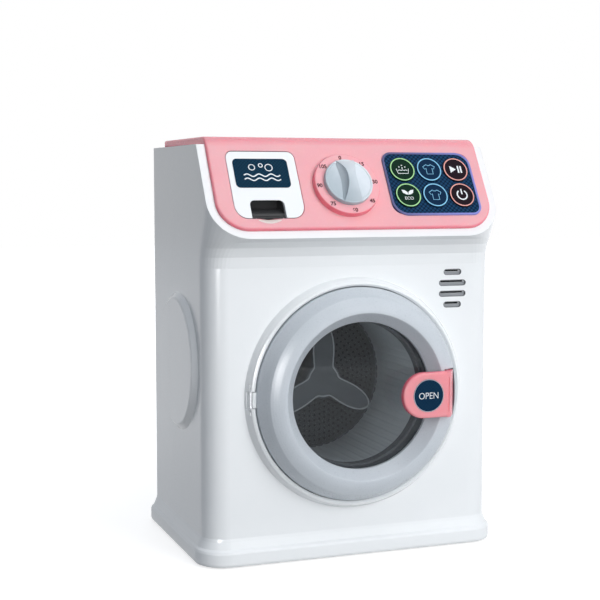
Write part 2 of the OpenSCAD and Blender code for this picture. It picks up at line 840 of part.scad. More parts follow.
cap_top = panel_proud + plate_rise + 0.9;
cap_flange_r = button_r + 0.6;
cap_flange_t = 1.2;
cap_stem_r = 2.5;
cap_hole_gap = 0.25;
switch_t = 0.5;
switch_r = 3;
board_lap = 1.4;
board_short = 2;
module button_bezel() {
  color("slateblue") on_panel() translate([0, 0, plate_seat])
    linear_extrude(panel_proud + bezel_rise - plate_seat) difference() {
      plate_outline(0);
      plate_outline(bezel_w);
    }
}
module button_plate() {
  color("midnightblue") on_panel() translate([0, 0, plate_seat])
    linear_extrude(panel_proud + plate_rise - plate_seat) difference() {
      plate_outline(bezel_w);
      for (spot = button_spots) translate(spot) circle(button_r + cap_hole_gap);
    }
}
module button(n) {
  spot = button_spots[n - 1];
  flange_top = plate_seat - part_gap;
  stem_low = board_top + switch_t + part_gap + button_travel;
  color("midnightblue") on_panel() translate([spot[0], spot[1], 0]) {
    translate([0, 0, flange_top]) cylinder(r = button_r, h = cap_top - flange_top);
    translate([0, 0, flange_top - cap_flange_t]) cylinder(r = cap_flange_r, h = cap_flange_t);
    translate([0, 0, stem_low]) cylinder(r = cap_stem_r, h = flange_top - cap_flange_t - stem_low);
  }
}
module button_board() {
  color("seagreen") on_panel() {
    translate([plate_x, plate_mid_v, board_top - board_t / 2])
      cube([plate_w + 2 * board_lap, plate_h - 2 * board_short, board_t], center = true);
    for (spot = button_spots) translate([spot[0], spot[1], board_top]) cylinder(r = switch_r, h = switch_t);
  }
}

// ---- door ----

door_back_h = -1.2;
window_seat = 10.6;
window_t = 2.4;
window_sag = 2.5;
window_grip = 2.4;
ring_t = 2;
ring_soft = 0.7;
brow_w = 9.8;
brow_drop = 4;
brow_points = 6;
// The crest band: an arc that falls from the crest to the brow, then the slope down to the rim
function band(share) = [crest_r + brow_w * share, crest_h - brow_drop * pow(share, 1.8)];
module ring_outside() {
  rotate_extrude() polygon(concat(
    [
      [window_r, door_back_h], [door_r, door_back_h], [door_r, rim_h - ring_soft],
      [door_r - ring_soft / 3, rim_h], [door_r - ring_soft, rim_h + ring_soft],
      [crest_r + brow_w + 2 * ring_soft, crest_h - brow_drop - 3 * ring_soft]
    ],
    [for (i = [brow_points:-1:0]) band(i / brow_points)],
    [[crest_r - ring_soft, crest_h - ring_soft], [window_r, window_h]]
  ));
}
window_lap = 3.6;
module ring_hollow() {
  rotate_extrude() polygon([
    [window_r - cut, door_back_h - cut], [door_r - ring_t, door_back_h - cut],
    [door_r - ring_t, rim_h - ring_soft], [crest_r + brow_w - ring_soft, crest_h - brow_drop - ring_t],
    [crest_r + brow_w - ring_t, crest_h - brow_drop - ring_soft], [crest_r + ring_soft, crest_h - ring_t],
    [window_r + window_lap, window_seat + window_lap], [window_r + window_lap, window_seat],
    [window_r - cut, window_seat]
  ]);
}
pocket_half = handle_span / 2 + 0.6;
pocket_left = pivot_x - 3.1;
pocket_right = pivot_x + 6;
pocket_low = 12;
rib_t = 2.2;
handle_pin_r = 1;
handle_pin_l = 2 * (pocket_half + rib_t) - 0.8;
arm_top_h = 5.9;
module door_ring() {
  color("silver") difference() {
    union() {
      on_door() difference() {
        ring_outside();
        ring_hollow();
      }
      on_door() intersection() {
        ring_outside();
        for (side = [-1, 1]) translate([pocket_left, side * pocket_half - (1 - side) * rib_t / 2, pocket_low])
          cube([pocket_right - pocket_left, rib_t, crest_h]);
      }
    }
    on_door() translate([pocket_left, -pocket_half, pocket_low])
      cube([pocket_right - pocket_left, 2 * pocket_half, crest_h]);
    on_pivot() cylinder(r = handle_pin_r, h = handle_pin_l, center = true);
    on_door() translate([-door_r - cut, -arm_half, door_back_h - cut])
      cube([2 * ring_t, 2 * arm_half, arm_top_h - door_back_h + cut]);
  }
}

function sag_at(r) = window_sag * (1 - pow(r / window_r, 2));
sag_steps = 12;
function dish(i, t) = [window_r * i / sag_steps, window_seat - t + sag_at(window_r * i / sag_steps)];
module door_window() {
  rim = window_r + window_grip;
  outside = [for (i = [0:sag_steps]) dish(i, 0)];
  inside = [for (i = [sag_steps:-1:0]) dish(i, window_t)];
  color("dimgray", 0.6) on_door() rotate_extrude()
    polygon(concat(outside, [[rim, window_seat], [rim, window_seat - window_t]], inside));
}

back_out_r = door_r - ring_t - slide_gap;
back_t = 1.8;
sleeve_in = 46.5;
sleeve_out = 48;
sleeve_back = -6;
module door_back() {
  color("silver") difference() {
    on_door() {
      translate([0, 0, door_back_h]) tube(back_out_r, sleeve_in, back_t);
      tube(window_r + window_grip + 0.2, sleeve_out, window_seat - window_t);
      translate([0, 0, sleeve_back]) tube(sleeve_out, sleeve_in, door_back_h - sleeve_back + back_t);
    }
    on_door() latch_slot(latch_slot_left - ring_soft, latch_tip_x + latch_gap, 2 * back_t, 4 * back_t,
      latch_half + latch_gap);
    on_door() translate([-door_r, -arm_half, door_back_h - cut]) cube([arm_foot_w, 2 * arm_half, 2 * back_t]);
  }
}
arm_right = -52;
arm_foot_w = 4.6;
arm_inset = 0.6;
arm_low_h = 1.8;
arm_t = 2;
arm_neck_t = 4;
module hinge_arm() {
  color("white") difference() {
    union() {
      intersection() {
        on_hinge() cylinder(r = barrel_r, h = 2 * arm_half, center = true);
        on_door()
          cylinder(r1 = collar_in + collar_w - slice_t, r2 = collar_in + collar_soft, h = 1.3 * collar_h);
      }
      on_door() translate([hinge_x, -arm_half, arm_low_h])
        cube([arm_foot_w - door_r - hinge_x, 2 * arm_half, arm_neck_t]);
      on_door() translate([arm_inset - door_r, -arm_half, door_back_h - arm_t]) {
        cube([arm_foot_w - arm_inset, 2 * arm_half, arm_top_h - door_back_h]);
        cube([arm_right + door_r - arm_inset, 2 * arm_half, arm_t]);
      }
    }
    on_hinge() cylinder(r = hinge_pin_r + run_gap, h = 4 * arm_half, center = true);
  }
}
module hinge_pin() {
  color("silver") on_hinge() cylinder(r = hinge_pin_r, h = hinge_pin_l, center = true);
}

// ---- door handle ----

handle_under = 22.5;
handle_round_x = handle_tip_x + handle_span / 2;
fold_x = 54.3;
facet_end_x = 61.5;
facet_end_h = 18.3;
handle_barrel_r = 2.6;
disc_x = 40;
disc_t = 1;
hook_t = 2.4;
hook_foot_t = 1.7;
spring_box = 6;
groove_w = 0.8;
groove_l = 22;
spring_low = 4.6;
spring_high = 8.4;
handle_soft = 0.4;
handle_edge_r = 1.5;
module handle_edge() {
  half = handle_span / 2;
  polygon(concat(
    [[0, handle_under], [half - handle_soft, handle_under], [half, handle_under + handle_soft]],
    [for (turn = [0:22.5:90])
      [half - handle_edge_r * (1 - cos(turn)), handle_reach - handle_edge_r * (1 - sin(turn))]],
    [[0, handle_reach]]
  ));
}
module door_handle() {
  half = handle_span / 2;
  color("hotpink") difference() {
    union() {
      on_door() translate([handle_round_x, 0, 0]) {
        rotate_extrude() handle_edge();
        rotate([90, 0, 90]) linear_extrude(fold_x - handle_round_x) union() {
          handle_edge();
          mirror([1, 0]) handle_edge();
        }
      }
      on_pivot() linear_extrude(2 * half, center = true) translate([-pivot_x, -pivot_h]) polygon([
        [fold_x - cut, handle_under], [pivot_x - handle_barrel_r, handle_under - 2 * handle_soft],
        [pivot_x - handle_barrel_r, pivot_h], [pivot_x + handle_barrel_r, pivot_h],
        [facet_end_x - handle_soft, facet_end_h - 2 * handle_soft], [facet_end_x, facet_end_h],
        [fold_x + handle_edge_r, handle_reach - handle_soft / 2], [fold_x + handle_soft, handle_reach],
        [fold_x - cut, handle_reach]
      ]);
      on_pivot() cylinder(r = handle_barrel_r, h = 2 * half, center = true);
      on_door() translate([pivot_x - hook_t / 2, -latch_half, latch_tip_h - hook_foot_t]) {
        cube([hook_t, 2 * latch_half, pivot_h - latch_tip_h]);
        cube([latch_tip_x - pivot_x + hook_t / 2, 2 * latch_half, hook_foot_t]);
      }
    }
    on_pivot() cylinder(r = handle_pin_r + run_gap, h = 4 * half, center = true);
    on_door() translate([pivot_x - spring_box / 2, spring_low, pivot_h - spring_box / 2])
      cube([spring_box, spring_high - spring_low, spring_box]);
    on_door() translate([disc_x, 0, handle_reach + disc_rise - disc_t])
      cylinder(r = handle_disc_r, h = 2 * disc_t);
    on_door() translate([fold_x, 0, handle_reach]) cube([groove_w, groove_l, groove_w], center = true);
  }
}
module handle_disc() {
  color("midnightblue") on_door() translate([disc_x, 0, handle_reach + disc_rise - disc_t])
    cylinder(r = handle_disc_r, h = disc_t);
}
module handle_pin() {
  color("silver") on_pivot() cylinder(r = handle_pin_r, h = handle_pin_l, center = true);
}
// Close-wound coil, drawn as a ridged sleeve along its axis
dent = 0.6;
module coil(r_in, wire, turns) {
  ridges = [for (i = [0:turns - 1], crown = [false, true])
    [r_in + (crown ? 1 : dent) * wire, wire * (i + (crown ? 1 / 2 : 0))]];
  ends = [[r_in + dent * wire, wire * turns], [r_in, wire * turns]];
  rotate_extrude() polygon(concat([[r_in, 0]], ridges, ends));
}
spring_wire = 0.75;
spring_turns = 4;
module handle_spring() {
  color("silver") on_door() translate([pivot_x, spring_high - slide_gap, pivot_h]) rotate([90, 0, 0])
    coil(handle_pin_r, spring_wire, spring_turns);
}
keeper_left = latch_tip_x + latch_gap;
keeper_w = 5;
keeper_l = 16;
keeper_t = 1.2;
module latch_keeper() {
  color("silver") on_door() translate([keeper_left, -keeper_l / 2, -recess_d - floor_t - keeper_t])
    cube([keeper_w, keeper_l, keeper_t]);
}

// ---- drum ----

drum_lip_r = 50.5;
drum_wall_end = drum_back + 3;
hub_r = 14.5;
agitator_near = drum_back - arm_h + 4;
dome_h = 7;
dome_r = 11.4;
dome_points = 6;
ridge_in = 1.6;
ridge_w = 1.4;
ridge_h = 1.2;
rib_count = 18;
drum_rib_h = 1.5;
drum_rib_w = 1.2;
drum_soft = 1;
drum_end_t = 3;
hole_r = 2;
hole_rings = 3;
hole_count = 12;
hole_ring_r = 24;
hole_pitch = 9;
module on_drum(depth) { translate([0, front_y + depth, door_z]) rotate([-90, 0, 0]) children(); }
module drum() {
  long = drum_wall_end - drum_front;
  inside = drum_r - drum_t;
  color("lightgray") on_drum(drum_front) difference() {
    union() {
      rotate_extrude() polygon([
        [drum_lip_r, 0], [drum_r - drum_soft, 0], [drum_r, drum_soft], [drum_r, long - 2 * drum_soft],
        [drum_r - 2 * drum_soft, long], [axle_r, long], [axle_r, long - drum_end_t],
        [inside - drum_end_t, long - drum_end_t], [inside, long - 2 * drum_end_t], [inside, drum_t],
        [drum_lip_r, drum_t]
      ]);
      for (i = [0:rib_count - 1]) rotate([0, 0, (i + 0.5) * 360 / rib_count])
        translate([inside - drum_rib_h, -drum_rib_w / 2, 2 * drum_t])
          cube([drum_rib_h + drum_t / 2, drum_rib_w, long - drum_t - 3 * drum_end_t]);
    }
    for (ring = [0:hole_rings - 1], i = [0:hole_count - 1]) rotate([0, 0, (i + ring / 2) * 360 / hole_count])
      translate([hole_ring_r + hole_pitch * ring, 0, long - drum_end_t - cut])
        cylinder(r = hole_r, h = drum_end_t + 2 * cut);
  }
}
module agitator_outline(inset) {
  waist = (hub_r - arm_w / 2) / (1 - cos(30));
  difference() {
    circle(arm_len - inset);
    for (turn = [90:120:330]) rotate(turn) translate([waist, 0]) circle(waist - hub_r + inset);
  }
}
module drum_agitator() {
  dome_end = spindle_near - agitator_near + dome_h;
  color("gainsboro") difference() {
    union() {
      on_drum(agitator_near) linear_extrude(drum_back - agitator_near) agitator_outline(0);
      on_drum(agitator_near - ridge_h) linear_extrude(ridge_h + 1) difference() {
        agitator_outline(ridge_in);
        agitator_outline(ridge_in + ridge_w);
      }
      on_drum(agitator_near - dome_h) rotate_extrude() polygon(concat(
        [for (i = [0:dome_points])
          [dome_r * sin(90 * i / dome_points), dome_h * (1 - cos(90 * i / dome_points))]],
        [[dome_r, dome_end], [0, dome_end]]
      ));
    }
    on_drum(spindle_near) cylinder(r = axle_r, h = drum_back);
  }
}
spindle_near = drum_back - 10;
bush_far = bracket_near + 9;
gear_near = drum_back + 6;
module drum_spindle() {
  color("silver") on_drum(spindle_near) cylinder(r = axle_r, h = bush_far - spindle_near);
}

// ---- drive ----

backlash = 0.2;
pressure = 20;
addendum = 0.9;
dedendum = 1.2;
flank_steps = 3;
function involute(angle) = tan(angle) * 180 / PI - angle;
function half_tooth(r, base, pitch) =
  (PI * gear_m / 2 - backlash / 2) / (2 * pitch) * 180 / PI + involute(pressure) - involute(acos(base / r));
module gear_shape(teeth, phase) {
  pitch = gear_m * teeth / 2;
  base = pitch * cos(pressure);
  root = pitch - dedendum * gear_m;
  tip = pitch + addendum * gear_m;
  start = max(base, root);
  radii = [for (i = [0:flank_steps]) start + (tip - start) * i / flank_steps];
  halves = [for (r = radii) half_tooth(r, base, pitch)];
  polygon([for (tooth = [0:teeth - 1]) let (mid = phase + tooth * 360 / teeth) each concat(
    [[root * cos(mid - halves[0]), root * sin(mid - halves[0])]],
    [for (i = [0:flank_steps]) [radii[i] * cos(mid - halves[i]), radii[i] * sin(mid - halves[i])]],
    [for (i = [flank_steps:-1:0]) [radii[i] * cos(mid + halves[i]), radii[i] * sin(mid + halves[i])]],
    [[root * cos(mid + halves[0]), root * sin(mid + halves[0])]]
  )]);
}
motor_turn = 25;
gear_centres = gear_m * (gear_teeth + pinion_teeth) / 2;
motor_x = gear_centres * cos(motor_turn);
motor_z = gear_centres * sin(motor_turn);
motor_w = 20;
motor_h = 15;
motor_l = 25;
motor_spindle_r = 1;
motor_nose_r = 3;
motor_nose_l = 1.5;
motor_bore = 5;
spindle_inside = 7;
// Drum axis with y up, seen from the front
module on_gears(depth) { translate([0, front_y + depth, door_z]) rotate([90, 0, 0]) children(); }
module drum_gear() {
  color("white") on_gears(gear_near + gear_w) linear_extrude(gear_w) difference() {
    gear_shape(gear_teeth, motor_turn);
    circle(axle_r);
  }
}
pinion_w = gear_w + 1;
module on_motor(depth) { on_gears(depth) translate([motor_x, motor_z, 0]) children(); }
module motor_pinion() {
  color("white") on_motor(gear_near + gear_w + 0.5) linear_extrude(pinion_w) difference() {
    gear_shape(pinion_teeth, motor_turn + 180 + 180 / pinion_teeth);
    circle(motor_spindle_r);
  }
}
module motor_spindle() {
  color("silver") on_motor(bracket_near + spindle_inside)
    cylinder(r = motor_spindle_r, h = bracket_near + spindle_inside - gear_near + 1);
}
module motor() {
  near = bracket_near + bracket_t;
  color("silver") difference() {
    union() {
      on_motor(near + motor_l) linear_extrude(motor_l) intersection() {
        circle(motor_w / 2);
        square([motor_w, motor_h], center = true);
      }
      on_motor(near) cylinder(r = motor_nose_r, h = motor_nose_l);
    }
    on_motor(near + motor_bore) cylinder(r = motor_spindle_r + run_gap, h = 2 * motor_bore);
  }
}
bush_r = 6;
bush_flange = 1;
module drum_bracket() {
  low_x = bracket_posts[0][0] - bracket_edge;
  high_x = bracket_posts[2][0] + bracket_edge;
  half = bracket_posts[1][1] + bracket_edge;
  color("white") difference() {
    union() {
      along_depth(bracket_near, bracket_near + bracket_t) translate([(low_x + high_x) / 2, door_z])
        round_rect(high_x - low_x, 2 * half, bracket_edge - 1);
      at_bracket_posts() translate([0, 0, bracket_near])
        cylinder(r = bracket_post_r, h = body_d - wall - bracket_near);
    }
    on_drum(bracket_near - bracket_t) cylinder(r = bush_r, h = 3 * bracket_t);
    on_motor(bracket_near + 2 * bracket_t) cylinder(r = motor_nose_r, h = 3 * bracket_t);
  }
}
module drum_bush() {
  color("gold") on_drum(bracket_near) difference() {
    union() {
      cylinder(r = bush_r, h = bush_far - bracket_near);
      translate([0, 0, -bush_flange]) cylinder(r = bush_r + bush_flange, h = bush_flange);
    }
    translate([0, 0, -2 * bush_flange]) cylinder(r = axle_r + run_gap, h = bush_far);
  }
}

// ---- speaker ----

speaker_back_t = 1;
magnet_r = speaker_r / 2;
magnet_l = 7;
cone_t = 0.8;
cone_edge_d = 1.4;
module speaker_frame() {
  color("dimgray") at_speaker() translate([0, 0, wall]) {
    tube(speaker_r, speaker_r - speaker_rim, speaker_d);
    translate([0, 0, speaker_d]) cylinder(r = speaker_r, h = speaker_back_t);
    translate([0, 0, speaker_d + speaker_back_t]) cylinder(r = magnet_r, h = magnet_l);
  }
}
module speaker_cone() {
  mouth = speaker_r - speaker_rim;
  dome = speaker_r / 4;
  deep = speaker_d - cone_t;
  color("black") at_speaker() translate([0, 0, wall]) rotate_extrude() polygon([
    [0, deep - cone_t], [dome, deep], [mouth - speaker_rim, cone_edge_d], [mouth, cone_edge_d],
    [mouth, cone_edge_d + cone_t], [mouth - speaker_rim, cone_edge_d + cone_t], [dome, speaker_d],
    [0, speaker_d]
  ]);
}

// ---- batteries ----

cell_shift = 2.5;
contact_t = 0.4;
cell_y = bay_floor + cell_r + cell_play;
function cell_z(n) = bay_low + cell_play + (n - 0.5) * cell_pitch;
module on_cell(n) {
  from_front() translate([0, cell_y, cell_z(n)]) rotate([0, n == 2 ? -90 : 90, 0]) children();
}
module battery_box() {
  color("white") difference() {
    along_depth(bay_floor - box_t, body_d - wall) bay_outline(box_t);
    along_depth(bay_floor, far) bay_outline(0);
  }
}
nub_r = 2.7;
nub_l = 1.2;
module battery(n) {
  color("orange") on_cell(n) translate([0, 0, cell_shift - cell_l / 2]) {
    cylinder(r = cell_r, h = cell_l - nub_l);
    cylinder(r = nub_r, h = cell_l);
  }
}
contact_w = 2 * cell_r - 3;
contact_button_r = 1.5;
contact_coil_r = 2;
contact_wire = 1;
contact_turns = 6;
module battery_contacts() {
  button_l = bay_half_w - cell_l / 2 - cell_shift;
  color("silver") for (n = [1:cell_count]) on_cell(n) {
    translate([0, 0, bay_half_w - contact_t / 2]) cube([contact_w, contact_w, contact_t], center = true);
    translate([0, 0, bay_half_w - button_l]) cylinder(r = contact_button_r, h = button_l);
    translate([0, 0, contact_t / 2 - bay_half_w]) cube([contact_w, contact_w, contact_t], center = true);
    translate([0, 0, contact_t / 2 - bay_half_w]) coil(contact_coil_r, contact_wire, contact_turns);
  }
}

// Battery cover: hinged along its lower edge, held by one captive screw
cover_barrel_r = 1.1;
cover_pin_r = 0.8;
cover_axis_y = body_d - cover_barrel_r;
cover_axis_z = bay_low - cover_lap + cover_barrel_r;
cover_half_w = bay_half_w + cover_lap;
cover_pin_l = 2.2;
cover_screw_z = bay_high + cover_lap + 2.5;
cover_ear_r = 4;
cover_screw_r = 1.2;
cover_boss_r = 3.6;
cover_screw_l = 3.6;
cover_head_r = 2.3;
cover_head_t = 0.9;
grip_line_l = 18;
grip_line_w = 1;
grip_line_d = 0.6;
grip_line_pitch = 2.4;
module on_cover_axis() {
  from_front() translate([0, cover_axis_y, cover_axis_z]) rotate([0, 90, 0]) children();
}
module cover_hinge_sockets() {
  socket_l = 2 * (cover_half_w + cover_gap + cover_pin_l + part_gap);
  on_cover_axis() cylinder(r = cover_pin_r + run_gap, h = socket_l, center = true);
  from_front() translate([-cover_half_w - cover_gap, body_d - wall - cut, bay_low - cover_lap - cover_gap])
    cube([2 * (cover_half_w + cover_gap), 2 * wall + cut, 2 * cover_barrel_r + 2 * cover_gap]);
  along_depth(body_d - wall + door_ledge, far) ear_outline(cover_gap);
  along_depth(body_d - 2 * wall, far) translate([0, cover_screw_z]) circle(cover_screw_r + screw_play);
}
module ear_outline(grow) {
  translate([0, cover_screw_z]) circle(cover_ear_r + grow);
  translate([-cover_ear_r - grow, bay_high]) square([2 * (cover_ear_r + grow), cover_screw_z - bay_high]);
}
module battery_door() {
  near = body_d - wall + door_ledge;
  color("white") {
    difference() {
      along_depth(near, body_d) difference() {
        union() {
          bay_outline(cover_lap);
          ear_outline(0);
        }
        translate([-body_w, 0]) square([2 * body_w, cover_axis_z]);
        translate([0, cover_screw_z]) circle(cover_screw_r);
      }
      for (line = [0:3]) along_depth(body_d - grip_line_d, far)
        translate([-grip_line_l / 2, bay_high - 2 * cover_lap - grip_line_pitch * line])
          square([grip_line_l, grip_line_w]);
    }
    on_cover_axis() cylinder(r = cover_barrel_r, h = 2 * cover_half_w, center = true);
    on_cover_axis()
      cylinder(r = cover_pin_r, h = 2 * (cover_half_w + cover_gap + cover_pin_l), center = true);
  }
}
module battery_screw() {
  color("silver") from_front() translate([0, body_d - cover_screw_l, cover_screw_z]) rotate([-90, 0, 0]) {
    cylinder(r = cover_screw_r, h = cover_screw_l);
    translate([0, 0, cover_screw_l]) cylinder(r1 = cover_head_r, r2 = 0.8 * cover_head_r, h = cover_head_t);
  }
}

front_shell();
back_shell();
base_plate();
foot(1);  // foot_1
foot(2);  // foot_2
foot(3);  // foot_3
foot(4);  // foot_4
case_screws();
console_panel();
drawer_housing();
drawer_front();
drawer_tray();
drawer_label();
program_knob();
knob_spindle();
timer_unit();
button_bezel();
button_plate();
button(1);  // button_1
button(2);  // button_2
button(3);  // button_3
button(4);  // button_4
button(5);  // button_5
button(6);  // button_6
button_board();
door_ring();
door_back();
door_window();
hinge_arm();
hinge_pin();
door_handle();
handle_disc();
handle_pin();
handle_spring();
latch_keeper();
drum();
drum_agitator();
drum_spindle();
drum_gear();
drum_bracket();
drum_bush();
motor();
motor_spindle();
motor_pinion();
speaker_frame();
speaker_cone();
battery_box();
battery_contacts();
battery(1);  // battery_1
battery(2);  // battery_2
battery(3);  // battery_3
battery_door();
battery_screw();
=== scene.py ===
import json
import math

import bmesh
import bpy
from mathutils import Matrix, Vector


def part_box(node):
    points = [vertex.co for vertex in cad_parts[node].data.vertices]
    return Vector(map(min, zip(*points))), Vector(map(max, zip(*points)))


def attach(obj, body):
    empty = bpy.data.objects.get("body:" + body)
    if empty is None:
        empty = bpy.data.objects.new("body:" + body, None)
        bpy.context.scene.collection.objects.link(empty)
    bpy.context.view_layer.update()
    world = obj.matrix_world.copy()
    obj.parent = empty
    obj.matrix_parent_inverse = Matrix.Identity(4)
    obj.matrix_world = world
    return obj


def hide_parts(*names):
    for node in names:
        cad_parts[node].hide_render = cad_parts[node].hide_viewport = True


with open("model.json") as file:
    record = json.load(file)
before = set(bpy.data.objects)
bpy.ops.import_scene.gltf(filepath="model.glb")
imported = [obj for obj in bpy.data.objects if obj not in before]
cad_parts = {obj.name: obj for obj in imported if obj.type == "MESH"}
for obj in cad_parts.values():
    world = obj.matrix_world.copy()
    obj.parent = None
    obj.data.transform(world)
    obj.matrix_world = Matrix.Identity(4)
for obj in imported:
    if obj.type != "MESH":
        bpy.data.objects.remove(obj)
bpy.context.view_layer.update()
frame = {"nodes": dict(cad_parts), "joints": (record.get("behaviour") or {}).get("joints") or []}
nodes = frame["nodes"]
joints = {joint["name"]: joint for joint in frame["joints"]}
mm = 0.001

# ---- Cabinet mouldings ----
# The front half with its plinth, door collar and console block, and the back half, are injection-moulded
# in white ABS from a polished tool, and screwed together from behind. The base plate closes them below.
abs_ior = 1.54
pigment_flow = 20 * mm
glow_depth = 4 * mm
glow_reach = (1.0, 0.22, 0.3)


def linear(hex_colour):
    """An sRGB hex colour as linear RGBA."""
    parts = [int(hex_colour[i:i + 2], 16) / 255 for i in (1, 3, 5)]
    return [c / 12.92 if c <= 0.04045 else ((c + 0.055) / 1.055) ** 2.4 for c in parts] + [1.0]


def add(tree, kind, settings):
    """Adds a node, sets its properties and inputs, and links the sockets it is given."""
    made = tree.nodes.new("ShaderNode" + kind)
    for name, value in settings.items():
        if isinstance(name, str) and name in made.bl_rna.properties:
            setattr(made, name, value)
        elif isinstance(value, bpy.types.NodeSocket):
            tree.links.new(value, made.inputs[name])
        else:
            made.inputs[name].default_value = value
    return made


def new_material(name):
    """An empty material, its node tree, and the socket of the object's own coordinates."""
    material = bpy.data.materials.new(name)
    material.use_nodes = True
    tree = material.node_tree
    tree.nodes.clear()
    return material, tree, add(tree, "TexCoord", {}).outputs["Object"]


def moulded(name, light, dark, roughness=0.5, grain=0.5 * mm, relief=0.01 * mm, edge=0.3 * mm, shine=0.5,
            glow=0.0, wall=None, front=None, start=0.8, curve=1.0):
    """A moulded plastic: its colour drifts a little between two tones as the pigment flows, and a grain of
    the given size and relief breaks up its gloss. Edge is the radius that the tool leaves. What isn't
    given is as on plain ABS, as moulded.
    A wall colour is painted shade: it deepens the sides that turn away from the front, standing in for how
    those sides look in shade. It starts where the cosine of that turn falls below start, and a curve under 1
    brings it in sooner."""
    material, tree, place = new_material(name)
    drift = add(tree, "TexNoise", {"Vector": place, "Scale": 1 / pigment_flow, "Detail": 1.0})
    tone = add(tree, "Mix", {"data_type": "RGBA", 0: drift.outputs["Fac"],
                             6: linear(light), 7: linear(dark)})
    speck = add(tree, "TexNoise", {"Vector": place, "Scale": 1 / grain, "Detail": 2.0})
    gloss = add(tree, "MapRange", {"Value": speck.outputs["Fac"], "From Min": 0.3, "From Max": 0.7,
                                   "To Min": roughness * 0.85, "To Max": roughness * 1.2})
    soft = add(tree, "Bevel", {"samples": 4, "Radius": edge})
    bump = add(tree, "Bump", {"Height": speck.outputs["Fac"], "Distance": relief, "Strength": 1.0,
                              "Normal": soft.outputs["Normal"]})
    # Painted shade: the sides that turn away from the front are mixed towards the wall colour.
    if wall:
        normal = add(tree, "TexCoord", {}).outputs["Normal"]
        turn = add(tree, "VectorMath", {"operation": "DOT_PRODUCT", 0: normal, 1: front})
        side = add(tree, "MapRange", {"Value": turn.outputs["Value"], "From Min": 0.2, "From Max": start,
                                      "To Min": 1.0, "To Max": 0.0})
        share = add(tree, "Math", {"operation": "POWER", 0: side.outputs["Result"], 1: curve})
        tone = add(tree, "Mix", {"data_type": "RGBA", 0: share.outputs["Value"],
                                 6: tone.outputs[2], 7: linear(wall)})
    shader = add(tree, "BsdfPrincipled", {
        "Base Color": tone.outputs[2], "Roughness": gloss.outputs["Result"], "IOR": abs_ior,
        "Specular IOR Level": shine, "Subsurface Weight": glow, "Subsurface Radius": glow_reach,
        "Subsurface Scale": glow_depth, "Normal": bump.outputs["Normal"]})
    add(tree, "OutputMaterial", {"Surface": shader.outputs["BSDF"]})
    return material


def finish_nodes(material, *names):
    """Gives solids of the frame a material in place of their plain one."""
    for name in names:
        mesh = nodes[name].data
        mesh.materials.clear()
        mesh.materials.append(material)


# White ABS from a polished tool: bright and even, with a faint orange peel that softens its reflections.
white_abs = moulded("white_abs_polished", "#F2F4F5", "#EFF2F3", roughness=0.2, grain=1.6 * mm,
                    relief=0.0002 * mm, edge=0.5 * mm, shine=0.4)
finish_nodes(white_abs, "front_shell", "back_shell", "base_plate")

# The same ABS as moulded, on the ribs and boxes inside: duller and a shade greyer.
white_abs_inner = moulded("white_abs_as_moulded", "#E6E7E9", "#DFE1E4")
finish_nodes(white_abs_inner, "drum_bracket", "battery_box")

# ---- Feet ----
# Four feet of moulded rubber. The stem of each is pushed through the base plate from below, and its head
# snaps out above it.
# Rubber: matt and dark, with a grey bloom that hides its edges.
rubber = moulded("rubber_moulded", "#4A4B4D", "#3C3D3F", roughness=0.75, grain=0.4 * mm,
                 relief=0.03 * mm, edge=0.4 * mm)
finish_nodes(rubber, "foot_1", "foot_2", "foot_3", "foot_4")

# ---- Screws, pins and springs ----
# Screws, hinge pins, spindles, springs and contacts are steel, turned, wound or pressed and then plated
# with zinc. The motor's can and the latch keeper are pressed from plated sheet.


def plated(name, colour, roughness):
    """A plated metal whose gloss varies in fine streaks. The real streaks lie under a tenth of a millimetre
    apart, too fine to show, so they are drawn 0.2 mm apart."""
    material, tree, place = new_material(name)
    streak = add(tree, "TexNoise", {"Vector": place, "Scale": 1 / (0.2 * mm), "Detail": 3.0})
    gloss = add(tree, "MapRange", {"Value": streak.outputs["Fac"],
                                   "To Min": roughness * 0.7, "To Max": roughness * 1.4})
    shader = add(tree, "BsdfPrincipled", {"Base Color": linear(colour), "Metallic": 1.0,
                                          "Roughness": gloss.outputs["Result"]})
    add(tree, "OutputMaterial", {"Surface": shader.outputs["BSDF"]})
    return material


# Zinc on steel: bright and cool, with reflections drawn out by the streaks.
zinc_steel = plated("steel_zinc_plated", "#C9CBCE", 0.28)
finish_nodes(zinc_steel, "case_screws", "hinge_pin", "handle_pin", "handle_spring", "latch_keeper",
             "drum_spindle", "motor", "motor_spindle", "battery_contacts", "battery_screw")

# ---- Console panel ----
# The coloured panel is one ABS moulding that covers the sloping face, rolls over its top edge and runs back
# as the lid. It is clipped into the front moulding. Its outline is a little smaller than its seat, so a
# white margin stays round it, and the edge of its face is rounded over.
panel_origin = Vector((0, -70.6 * mm, 209 * mm))
panel_top = 2.5 * mm
panel_low = 3.4 * mm
panel_corner = 22 * mm
panel_inset = 2.0 * mm
panel_edge = 1.4 * mm
rolled_edge = 8 * mm
lid_skin = 2.4 * mm
drawer_edge = 12.75 * mm
scoop_middle = Vector((-61.4, 22.7, 15.0)) * mm
scoop_rim = 12.3 * mm
scoop_wider, scoop_deeper = 1.3, 1.5
disc_seat_r = 24 * mm
touch = 0.05 * mm
weld = 0.002 * mm


def facing(direction, at):
    """A frame at a point: z along the direction, x level and y up the surface."""
    z = Vector(direction).normalized()
    x = Vector((0, 0, 1)).cross(z).normalized()
    y = z.cross(x)
    turned = Matrix((x, y, z)).transposed().to_4x4()
    turned.translation = at
    return turned


def piece(name, mesh, body, material, place=Matrix.Identity(4)):
    """An object from a mesh that is drawn in a face's own frame, riding on a body."""
    mesh.transform(place)
    mesh.materials.clear()
    mesh.materials.append(material)
    made = bpy.data.objects.new(name, mesh)
    bpy.context.scene.collection.objects.link(made)
    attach(made, body)
    return made


